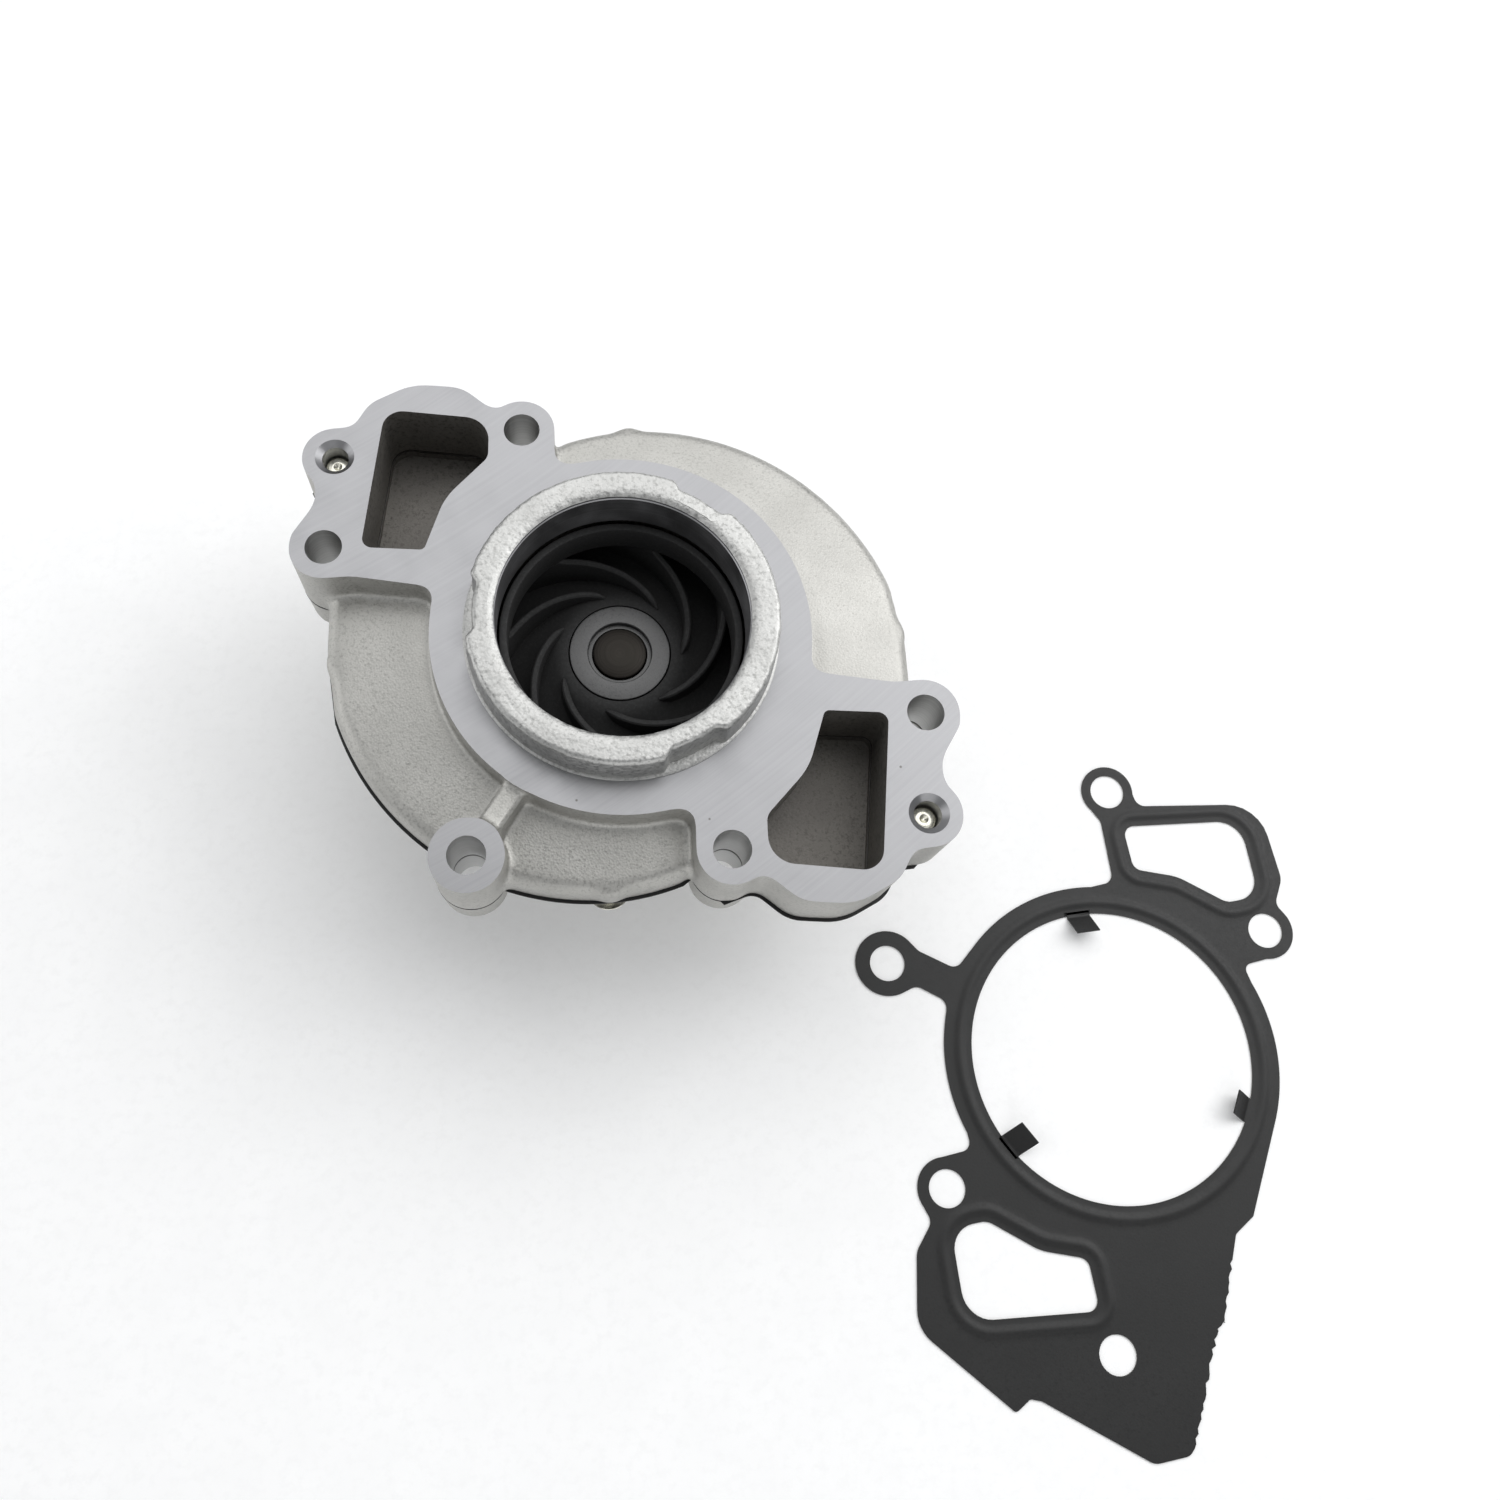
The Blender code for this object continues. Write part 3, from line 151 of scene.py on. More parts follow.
# ---- outlines -----------------------------------------------------------------------------------
def rounded(corners, steps=10):
    """Points of a polygon whose corners, each an (x, y, radius), are tangent arcs."""
    points = []
    count = len(corners)
    for i, (x, y, radius) in enumerate(corners):
        here = Vector((x, y))
        if radius == 0:
            points.append((x, y))
            continue
        to_last = (Vector(corners[i - 1][:2]) - here).normalized()
        to_next = (Vector(corners[(i + 1) % count][:2]) - here).normalized()
        half = to_last.angle(to_next) / 2
        centre = here + (to_last + to_next).normalized() * radius / math.sin(half)
        start = here + to_last * radius / math.tan(half) - centre
        sweep = start.angle_signed(here + to_next * radius / math.tan(half) - centre)
        for step in range(steps + 1):
            points.append(tuple(centre + Matrix.Rotation(-sweep * step / steps, 2) @ start))
    return points


def bent(*corners):
    """The rounded middle of an open line, whose first and last points only give directions."""
    return rounded(corners, 6)[1:-1]


def arc(centre, radius, first, last, steps):
    """Points along an arc, angles in degrees."""
    angles = (math.radians(first + (last - first) * i / steps) for i in range(steps + 1))
    return [(centre[0] + radius * math.cos(a), centre[1] + radius * math.sin(a)) for a in angles]


def circle(centre, radius, segments=64):
    return arc(centre, radius, 0, 360, segments)[:-1]


def half_turn(points):
    return [(-x, -y) for x, y in points]


def twins(points):
    return list(points) + half_turn(points)


def scaled(points, factor):
    return [(x * factor, y * factor) for x, y in points]


def offset(points, distance):
    """The outline moved outwards by distance along its own normals."""
    ahead = points[1:] + points[:1]
    area = sum(x0 * y1 - x1 * y0 for (x0, y0), (x1, y1) in zip(points, ahead))
    side = math.copysign(1.0, area)
    moved = []
    for i, here in enumerate(points):
        first = (Vector(here) - Vector(points[i - 1])).normalized()
        second = (Vector(points[(i + 1) % len(points)]) - Vector(here)).normalized()
        normal = Vector((first.y + second.y, -first.x - second.x)).normalized() * side
        stretch = 1 / max(0.5, normal.dot(Vector((first.y, -first.x)) * side))
        moved.append(tuple(Vector(here) + normal * distance * stretch))
    return moved


def volute_outline():
    """Two spiral flanks, half a turn apart."""
    flank = []
    for i in range(VOLUTE_STEPS + 1):
        share = i / VOLUTE_STEPS
        angle = math.radians(VOLUTE_START + (VOLUTE_END - VOLUTE_START) * share)
        radius = VOLUTE_START_R + (VOLUTE_END_R - VOLUTE_START_R) * share
        flank.append((radius * math.cos(angle), radius * math.sin(angle)))
    flank += FLANK_END
    return flank + half_turn(flank)


BOLT_HOLES = twins(BOLT_EARS) + [ARM_EAR]
SCREW_PLACES = twins([SCREW_EAR]) + twins(RIM_SCREWS)


# ---- finishes -----------------------------------------------------------------------------------
def linear(code):
    """An sRGB hex colour as linear RGBA."""
    parts = [int(code[i:i + 2], 16) / 255 for i in (1, 3, 5)]
    return [c / 12.92 if c <= 0.04045 else ((c + 0.055) / 1.055) ** 2.4 for c in parts] + [1.0]


def per(size):
    """Texture scale for a pattern that repeats every size millimetres."""
    return 1 / (size * MM)


def add(tree, kind, inputs, **settings):
    """Adds a node; each input is a value or the socket that feeds it."""
    made = tree.nodes.new("ShaderNode" + kind)
    for name, value in settings.items():
        setattr(made, name, value)
    for key, value in inputs.items():
        if isinstance(value, bpy.types.NodeSocket):
            tree.links.new(value, made.inputs[key])
        else:
            made.inputs[key].default_value = value
    return made


def finish(name, colour, metallic, roughness):
    made = bpy.data.materials.new(name)
    made.use_nodes = True
    tree = made.node_tree
    shader = tree.nodes["Principled BSDF"]
    shader.inputs["Base Color"].default_value = linear(colour)
    shader.inputs["Metallic"].default_value = metallic
    shader.inputs["Roughness"].default_value = roughness
    place = add(tree, "TexCoord", {}).outputs["Object"]
    return made, tree, shader, place


def grainy(name, colours, metallic, roughness, grit, depth):
    """A blasted or moulded skin: even grit in relief, with cloudy shade and fine flecks."""
    made, tree, shader, place = finish(name, colours[0], metallic, roughness[0])
    grains = add(tree, "TexNoise", {"Vector": place, "Scale": per(grit * 1.6), "Detail": 3.0,
                                    "Roughness": 0.7})
    pits = add(tree, "TexVoronoi", {"Vector": place, "Scale": per(grit * 1.3)})
    cloud = add(tree, "TexNoise", {"Vector": place, "Scale": per(14.0), "Detail": 4.0})
    relief = add(tree, "Math", {0: grains.outputs["Fac"], 1: 0.45, 2: pits.outputs["Distance"]},
                 operation="MULTIPLY_ADD")
    bump = add(tree, "Bump", {"Height": relief.outputs[0], "Distance": depth * MM,
                              "Strength": 1.0})
    tree.links.new(bump.outputs[0], shader.inputs["Normal"])
    patches = add(tree, "MapRange", {"Value": cloud.outputs["Fac"], "From Min": 0.35,
                                     "From Max": 0.65})
    shade = add(tree, "Mix", {0: patches.outputs[0], 6: linear(colours[0]), 7: linear(colours[1])},
                data_type="RGBA")
    flecks = add(tree, "MapRange", {"Value": grains.outputs["Fac"], "From Min": 0.34,
                                    "From Max": 0.52})
    flecked = add(tree, "Mix", {0: flecks.outputs[0], 6: linear(colours[2]),
                                7: shade.outputs[2]}, data_type="RGBA")
    tree.links.new(flecked.outputs[2], shader.inputs["Base Color"])
    gloss = add(tree, "MapRange", {"Value": grains.outputs["Fac"], "From Min": 0.3,
                                   "From Max": 0.7, "To Min": roughness[0],
                                   "To Max": roughness[1]})
    tree.links.new(gloss.outputs[0], shader.inputs["Roughness"])
    return made


def tooled(name, colours, roughness, pitch, line, depth, specks=0.0):
    """Cut metal: fine tool lines every pitch, along the way that line measures, and pores."""
    made, tree, shader, place = finish(name, colours[0], 1.0, roughness[0])
    if line == "axis":
        run = add(tree, "SeparateXYZ", {0: place}).outputs["Z"]
    else:
        flat = add(tree, "VectorMath", {0: place, 1: (1.0, 1.0, 0.0)}, operation="MULTIPLY")
        centre = [v * MM for v in line] + [0.0]
        run = add(tree, "VectorMath", {0: flat.outputs[0], 1: centre},
                  operation="DISTANCE").outputs["Value"]
    marks = add(tree, "TexNoise", {"W": run, "Scale": per(pitch * 2), "Detail": 3.0,
                                   "Roughness": 0.75}, noise_dimensions="1D")
    wear = add(tree, "TexNoise", {"Vector": place, "Scale": per(9.0), "Detail": 5.0})
    both = add(tree, "Math", {0: marks.outputs["Fac"], 1: wear.outputs["Fac"]},
               operation="MULTIPLY")
    bump = add(tree, "Bump", {"Height": marks.outputs["Fac"], "Distance": depth * MM,
                              "Strength": 1.0})
    tree.links.new(bump.outputs[0], shader.inputs["Normal"])
    share = add(tree, "MapRange", {"Value": both.outputs[0], "From Min": 0.15, "From Max": 0.35})
    shade = add(tree, "Mix", {0: share.outputs[0], 6: linear(colours[0]), 7: linear(colours[1])},
                data_type="RGBA")
    colour = shade.outputs[2]
    if specks:
        pores = add(tree, "TexVoronoi", {"Vector": place, "Scale": per(11.0)})
        mask = add(tree, "MapRange", {"Value": pores.outputs["Distance"], "From Min": specks,
                                      "From Max": specks * 0.5})
        colour = add(tree, "Mix", {0: mask.outputs[0], 6: colour, 7: linear("#6E6C6A")},
                     data_type="RGBA").outputs[2]
    tree.links.new(colour, shader.inputs["Base Color"])
    gloss = add(tree, "MapRange", {"Value": wear.outputs["Fac"], "From Min": 0.3,
                                   "From Max": 0.7, "To Min": roughness[0],
                                   "To Max": roughness[1]})
    tree.links.new(gloss.outputs[0], shader.inputs["Roughness"])
    return made


# gravity-cast and shot-blasted: a dull even sparkle; grit drawn at 0.45 mm so that it shows
CAST = grainy("cast aluminium, shot-blasted", ("#B4B3AF", "#BDBCB8", "#A09F9B"), 1.0,
              (0.42, 0.62), 0.45, 0.045)
# the snout's rim takes the blast full on: coarser, brighter grains
RIM = grainy("cast aluminium, coarse blasted", ("#B8B8B6", "#C4C4C2", "#9C9C9A"), 1.0,
             (0.38, 0.55), 0.6, 0.055)
# inside the ports and chambers: the cast aluminium darkened, as painted shade of these deep
# recesses
CAST_PAINTED_SHADE = grainy("cast aluminium, darkened as painted shade", ("#84817D", "#8F8C87", "#6C6965"), 1.0,
               (0.55, 0.7), 0.6, 0.04)
# face-milled in one pass with a large cutter: bright, with faint sweeping lines and open pores
MILLED = tooled("milled aluminium", ("#99999B", "#9E9EA0"), (0.32, 0.44), 0.5, (-260.0, 340.0),
                0.0022, specks=0.035)
# bored and drilled: rings round the hole
BORED = tooled("bored aluminium", ("#9A9A9C", "#ACACAE"), (0.4, 0.55), 0.4, "axis", 0.006)
DRILLED = tooled("drilled aluminium", ("#BDBDBC", "#CCCCCB"), (0.3, 0.45), 0.5, "axis", 0.008)
# turned and ground steel, oiled
TURNED = tooled("turned steel", ("#6A6762", "#7C7973"), (0.3, 0.42), 0.35, (0.0, 0.0), 0.006)
# the shaft end down the bore: the same steel under dark oil
OILED = tooled("oiled steel", ("#302E2B", "#393633"), (0.42, 0.55), 0.35, (0.0, 0.0), 0.006)
# sintered steel: dull, very fine grain
SINTERED = grainy("sintered steel", ("#666666", "#6E6E6E", "#5A5A5A"), 1.0, (0.45, 0.6), 0.35,
                  0.015)
ZINC = grainy("zinc-plated steel", ("#D9D8CE", "#E4E2D6", "#BDBBAF"), 1.0, (0.14, 0.28), 0.8,
              0.006)
# glass-filled nylon: dull black with faint fibre flecks
NYLON = grainy("glass-filled nylon", ("#222222", "#262626", "#2C2C2C"), 0.0, (0.68, 0.8), 0.5,
               0.012)
# rubber-coated steel sheet: satin black skin with a fine orange peel
COATED = grainy("rubber-coated steel", ("#161616", "#1B1B1B", "#121212"), 0.0, (0.45, 0.6), 0.5,
                0.01)
SHEARED = tooled("sheared steel edge", ("#55534F", "#7A7772"), (0.35, 0.5), 0.3, "axis", 0.01)
RUBBER = grainy("moulded rubber", ("#1C1C1C", "#212121", "#181818"), 0.0, (0.6, 0.75), 0.4, 0.01)
BRASS = tooled("drawn brass", ("#B8934E", "#C9A665"), (0.25, 0.38), 0.4, "axis", 0.004)
CARBON = grainy("carbon graphite", ("#242427", "#2C2C30", "#1C1C1E"), 0.0, (0.3, 0.45), 0.3,
                0.005)
CERAMIC = grainy("lapped ceramic", ("#DCD8CC", "#E4E0D5", "#CFCBBF"), 0.0, (0.15, 0.25), 0.5,
                 0.003)


# ---- solids -------------------------------------------------------------------------------------
def shade(mesh, angle=32.0):
    mesh.shade_smooth()
    mesh.set_sharp_from_angle(angle=math.radians(angle))


def make_object(name, bm, paint):
    bmesh.ops.scale(bm, vec=(MM, MM, MM), verts=bm.verts)
    bmesh.ops.recalc_face_normals(bm, faces=bm.faces)
    mesh = bpy.data.meshes.new(name)
    bm.to_mesh(mesh)
    bm.free()
    mesh.materials.append(paint)
    shade(mesh)
    item = bpy.data.objects.new(name, mesh)
    bpy.context.collection.objects.link(item)
    return item


def add_loft(bm, layers):
    """A closed solid through outlines with equal point counts, each an (outline, height)."""
    rings = [[bm.verts.new((x, y, z)) for x, y in outline] for outline, z in layers]
    for low, high in zip(rings, rings[1:]):
        for i in range(len(low)):
            bm.faces.new((low[i - 1], low[i], high[i], high[i - 1]))
    bm.faces.new(rings[0])
    bm.faces.new(rings[-1])


def lofted(name, layers, paint):
    bm = bmesh.new()
    add_loft(bm, layers)
    return make_object(name, bm, paint)


def several(name, lofts, paint):
    """Solids that don't touch each other, as one object."""
    bm = bmesh.new()
    for layers in lofts:
        add_loft(bm, layers)
    return make_object(name, bm, paint)


def prism(outline, low, high):
    return [(outline, low), (outline, high)]


def spun(place, profile, segments=64):
    """Layers of a round solid at a place, from its outer (radius, height) profile."""
    return [(circle(place, r, segments), z) for r, z in profile]


def turned(name, profile, paint, segments=128):
    """A ring round the shaft axis from a closed (radius, height) profile."""
    bm = bmesh.new()
    columns = []
    for i in range(segments):
        angle = 2 * math.pi * i / segments
        columns.append([bm.verts.new((r * math.cos(angle), r * math.sin(angle), z))
                        for r, z in profile])
    for i, column in enumerate(columns):
        for k in range(len(profile)):
            bm.faces.new((columns[i - 1][k - 1], column[k - 1], column[k], columns[i - 1][k]))
    return make_object(name, bm, paint)


def slab(name, width, side, angle, paint):
    """A plate of given width across a radial direction, from its (radius, height) side view."""
    bm = bmesh.new()
    turn = Matrix.Rotation(math.radians(angle), 3, "Z")
    faces = [[bm.verts.new(turn @ Vector((r, w, z))) for r, z in side]
             for w in (-width / 2, width / 2)]
    for i in range(len(side)):
        bm.faces.new((faces[0][i - 1], faces[0][i], faces[1][i], faces[1][i - 1]))
    bm.faces.new(faces[0])
    bm.faces.new(faces[1])
    return make_object(name, bm, paint)


def combine(target, operation, others):
    for other in others:
        step = target.modifiers.new(other.name, "BOOLEAN")
        step.operation = operation
        step.solver = "EXACT"
        step.material_mode = "TRANSFER"
        step.object = other


def join(target, *others):
    combine(target, "UNION", others)


def cut(target, *others):
    combine(target, "DIFFERENCE", others)


def soften(target, voxel, rounds):
    """As-cast fillets: an even skin of small faces, smoothed so that every corner rounds."""
    skin = target.modifiers.new("skin", "REMESH")
    skin.mode = "VOXEL"
    skin.voxel_size = voxel * MM
    smooth = target.modifiers.new("fillets", "SMOOTH")
    smooth.factor = 0.5
    smooth.iterations = rounds


def settle(piece, angle=32.0):
    """The modifiers become the piece's own mesh, and the solids that cut or joined it go."""
    graph = bpy.context.evaluated_depsgraph_get()
    mesh = bpy.data.meshes.new_from_object(piece.evaluated_get(graph), depsgraph=graph,
                                           preserve_all_data_layers=True)
    tools = [step.object for step in piece.modifiers if step.type == "BOOLEAN"]
    piece.modifiers.clear()
    piece.data = mesh
    shade(mesh, angle)
    for tool in tools:
        for inner in [step.object for step in tool.modifiers if step.type == "BOOLEAN"]:
            bpy.data.objects.remove(inner)
        bpy.data.objects.remove(tool)
    return piece


def place_piece(piece, body, slot, *nodes):
    """The piece stands for its frame nodes and rides on their body; slot is not used."""
    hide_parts(*nodes)
    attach(piece, body)
    return piece


# ---- front casting ------------------------------------------------------------------------------
def pair(name, outline, low, high, paint):
    """A prism and its twin half a turn round."""
    return several(name, [prism(outline, low, high), prism(half_turn(outline), low, high)], paint)


def snout():
    """The as-cast inlet ring, with three soft notches round its outside and a worn rim."""
    sunk, step_top = FACE_Z - 1.5, FACE_Z + 0.7
    edge, lean, lead, stock = 1.2, 0.6, 3.2, 0.6
    wall_steps, lead_steps, segments = 16, 9, 400
    outer = [(ROOT_R - 0.4, sunk), (ROOT_R - 0.4, FACE_Z + 0.4), (ROOT_R - 0.9, step_top)]
    wall_foot = len(outer)
    rise = RIM_Z - edge - step_top
    outer += [(ROOT_R - 1.0 - lean * i / wall_steps, step_top + rise * i / wall_steps)
              for i in range(wall_steps + 1)]
    outer += arc((RIM_R - 1.4, RIM_Z - edge), edge, 0, 90, 6)
    outer += [(RIM_R - 1.6 - 0.35 * i, RIM_Z) for i in range(1, 8)]
    outer += [(BORE_R - 0.2 + lead - lead * math.sin(a), RIM_Z - lead * 0.5 * (1 - math.cos(a)))
              for a in (math.pi / 2 * i / lead_steps for i in range(1, lead_steps + 1))]
    outer += [(BORE_R - stock, RIM_Z - 2.4), (BORE_R - stock, sunk)]
    bm = bmesh.new()
    columns = []
    for i in range(segments):
        angle = 360 * i / segments
        column = []
        for k, (radius, z) in enumerate(outer):
            if wall_foot <= k and radius > RIM_R - 4.0:
                away = min(abs((angle - n + 180) % 360 - 180) for n in NOTCH_ANGLES)
                run = math.radians(away) * RIM_R
                share = min(1.0, max(0.0, (NOTCH_HALF + NOTCH_SOFT / 2 - run) / NOTCH_SOFT))
                radius -= NOTCH_DEPTH * share * share * (3 - 2 * share)
            out = Vector((math.cos(math.radians(angle)), math.sin(math.radians(angle)), 0))
            point = out * radius + Vector((0, 0, z))
            if wall_foot < k < len(outer) - 3:
                waves = 0.16 * noise.noise(point * 0.55)
                point += out * waves + out * 0.07 * noise.noise(point * 1.7)
                point.z += min(0, 0.10 * noise.noise(point * 1.1 + Vector((9, 0, 0))) - 0.04)
            column.append(bm.verts.new(point))
        columns.append(column)
    for i, column in enumerate(columns):
        for k in range(len(outer)):
            bm.faces.new((columns[i - 1][k - 1], column[k - 1], column[k], columns[i - 1][k]))
    return make_object("snout", bm, RIM)


def rib_cap(reach, bearing):
    """The crisp, bevelled crest of the rib that carries the odd ear."""
    half, bevel = RIB_WIDTH / 2 + 0.05, 0.8
    top = RIB_TOP_Z
    crest = [(-half, top - 3), (half, top - 3), (half, top - bevel), (half - bevel, top),
             (bevel - half, top), (-half, top - bevel)]
    bm = bmesh.new()
    turn = Matrix.Rotation(math.radians(bearing), 3, "Z")
    ends = [[bm.verts.new(turn @ Vector((r, w, z))) for w, z in crest]
            for r in (ANNULUS_R - 3, reach)]
    for i in range(len(crest)):
        bm.faces.new((ends[0][i - 1], ends[0][i], ends[1][i], ends[1][i - 1]))
    bm.faces.new(ends[0])
    bm.faces.new(ends[1])
    return make_object("rib_cap", bm, CAST)


def front_casting():
    volute = volute_outline()
    low = JOINT_Z - STOCK
    high = FACE_Z + STOCK
    body = lofted("front_casting", [(volute, low), (volute, SHOULDER_Z - 4.6),
                                    (scaled(volute, 0.97), SHOULDER_Z - 2.4),
                                    (scaled(volute, 0.7), SHOULDER_Z)], CAST)
    lobe = rounded(LOBE)
    ears = ((BOLT_EAR_R, BOLT_HOLES[:4], "bolt_ears"),
            (SCREW_EAR_R, SCREW_PLACES[:2], "screw_ears"))
    parts = [pair("lobes", lobe, low - STEP, high, CAST)]
    for i, (radius, places, name) in enumerate(ears, 2):
        parts.append(several(name, [prism(circle(p, radius), low - i * STEP, high + i * STEP)
                                    for p in places], CAST))
    parts += [several("rim_bosses", [prism(circle(p, RIM_BOSS_R), low - 4 * STEP, SHOULDER_Z - 3.0)
                                     for p in SCREW_PLACES[2:]], CAST),
              lofted("annulus", prism(circle((0, 0), ANNULUS_R, 180), low - 5 * STEP,
                                      high + 5 * STEP), CAST),
              lofted("arm_ear", prism(circle(ARM_EAR, ARM_EAR_R), low - 6 * STEP,
                                      high + 6 * STEP), CAST)]
    reach = math.hypot(*ARM_EAR)
    bearing = math.degrees(math.atan2(ARM_EAR[1], ARM_EAR[0]))
    root, foot = ANNULUS_R - 6, low - 7 * STEP
    rib = [(root, foot), (reach, foot), (reach, RIB_TOP_Z), (root, RIB_TOP_Z)]
    parts.append(slab("rib", RIB_WIDTH, rib, bearing, CAST))
    join(body, *parts)
    soften(body, 0.6, 30)
    join(body, rib_cap(reach, bearing))

    mill = several("mill", [prism(circle((0, 0), MILL_R, 96), FACE_Z, FACE_Z + 2 * STOCK),
                            prism(circle((0, 0), MILL_R + 1, 96), JOINT_Z - 2 * STOCK, JOINT_Z)],
                   MILLED)
    # the chamber, port and throat cutters leave their walls in the darkened cast finish: painted
    # shade of the recesses
    chamber = lofted("chamber", spun((0, 0), [(CHAMBER_R, JOINT_Z - OVERCUT),
                                              (CHAMBER_R, JOINT_Z + 5.2), (45.5, JOINT_Z + 6.1),
                                              (38, JOINT_Z + 7.2), (34, JOINT_Z + 8.9),
                                              (31.5, JOINT_Z + 11.5), (31.5, FACE_Z - 2.0)], 180),
                     CAST_PAINTED_SHADE)
    ports = pair("ports", rounded(PORT), JOINT_Z - OVERCUT - 0.5, FACE_Z + OVERCUT, CAST_PAINTED_SHADE)
    throats = pair("throats", rounded(THROAT), JOINT_Z - OVERCUT - 0.7, JOINT_Z + THROAT_RISE,
                   CAST_PAINTED_SHADE)
    drills = [prism(circle(p, BOLT_HOLE_R, 48), JOINT_Z - OVERCUT, FACE_Z + OVERCUT)
              for p in BOLT_HOLES]
    hole = SCREW_R + GAP
    flare = COUNTERSINK_R - hole
    for i, place in enumerate(SCREW_PLACES):
        top = FACE_Z + OVERCUT if i < THROUGH_SCREWS else JOINT_Z + 6.0
        drills.append(spun(place, [(hole, JOINT_Z - OVERCUT), (hole, top)], 48))
    sinks = [spun(place, [(hole - 0.05, FACE_Z - 0.9 * flare), (COUNTERSINK_R, FACE_Z),
                          (COUNTERSINK_R + 0.7, FACE_Z + 1.0)], 48)
             for place in SCREW_PLACES[:THROUGH_SCREWS]]
    cut(body, mill, chamber, ports, throats, several("drills", drills, DRILLED),
        several("countersinks", sinks, MILLED))
    join(body, snout())
    bevel = 0.25
    cut(body, lofted("bore", spun((0, 0), [(BORE_R, JOINT_Z + 3), (BORE_R, RIM_Z - 1.7),
                                           (BORE_R + bevel, RIM_Z - 1.7 + bevel),
                                           (BORE_R + bevel, RIM_Z + 2)], 240), BORED))
    settle(body)
    return place_piece(body, "housing", "cast_aluminium", "front_housing")


# ---- joint sheet, rear casting and screws -------------------------------------------------------
def joint_outlines(grow):
    """Outlines of the joint between the castings, moved out by grow."""
    lobe = offset(rounded(LOBE, 6), grow)
    return offset(volute_outline(), grow), lobe, half_turn(lobe)


def openings(name, low, high, paint):
    """Bolt and screw holes through a piece of the joint."""
    holes = [prism(circle(p, BOLT_HOLE_R, 48), low, high) for p in BOLT_HOLES]
    holes += [prism(circle(p, SCREW_R + GAP, 40), low, high) for p in SCREW_PLACES]
    return several(name, holes, paint)


def joint_sheet():
    low, high = SHEET_Z
    step = 0.03
    body, lobe_a, lobe_b = joint_outlines(SHEET_PROUD)
    sheet = lofted("joint_sheet_pressing", prism(body, low, high), COATED)
    join(sheet, several("sheet_lobes", [prism(lobe_a, low + step, high - step),
                                        prism(lobe_b, low + step, high - step)], COATED),
         several("sheet_ears", [prism(circle(p, BOLT_EAR_R, 48), low + 2 * step, high - 2 * step)
                                for p in BOLT_HOLES[:4]] +
                 [prism(circle(ARM_EAR, ARM_EAR_R, 48), low + 2 * step, high - 2 * step)],
                 COATED))
    cut(sheet, lofted("sheet_middle", prism(circle((0, 0), CHAMBER_R, 180), low - 1, high + 1),
                      SHEARED),
        pair("sheet_ports", rounded(PORT), low - 1.2, high + 1.2, SHEARED),
        pair("sheet_throats", rounded(THROAT), low - 1.3, high + 1.3, SHEARED),
        openings("sheet_holes", low - 1.4, high + 1.4, SHEARED))
    settle(sheet)
    place_piece(sheet, "housing", "coated_steel_sheet", "joint_sheet")


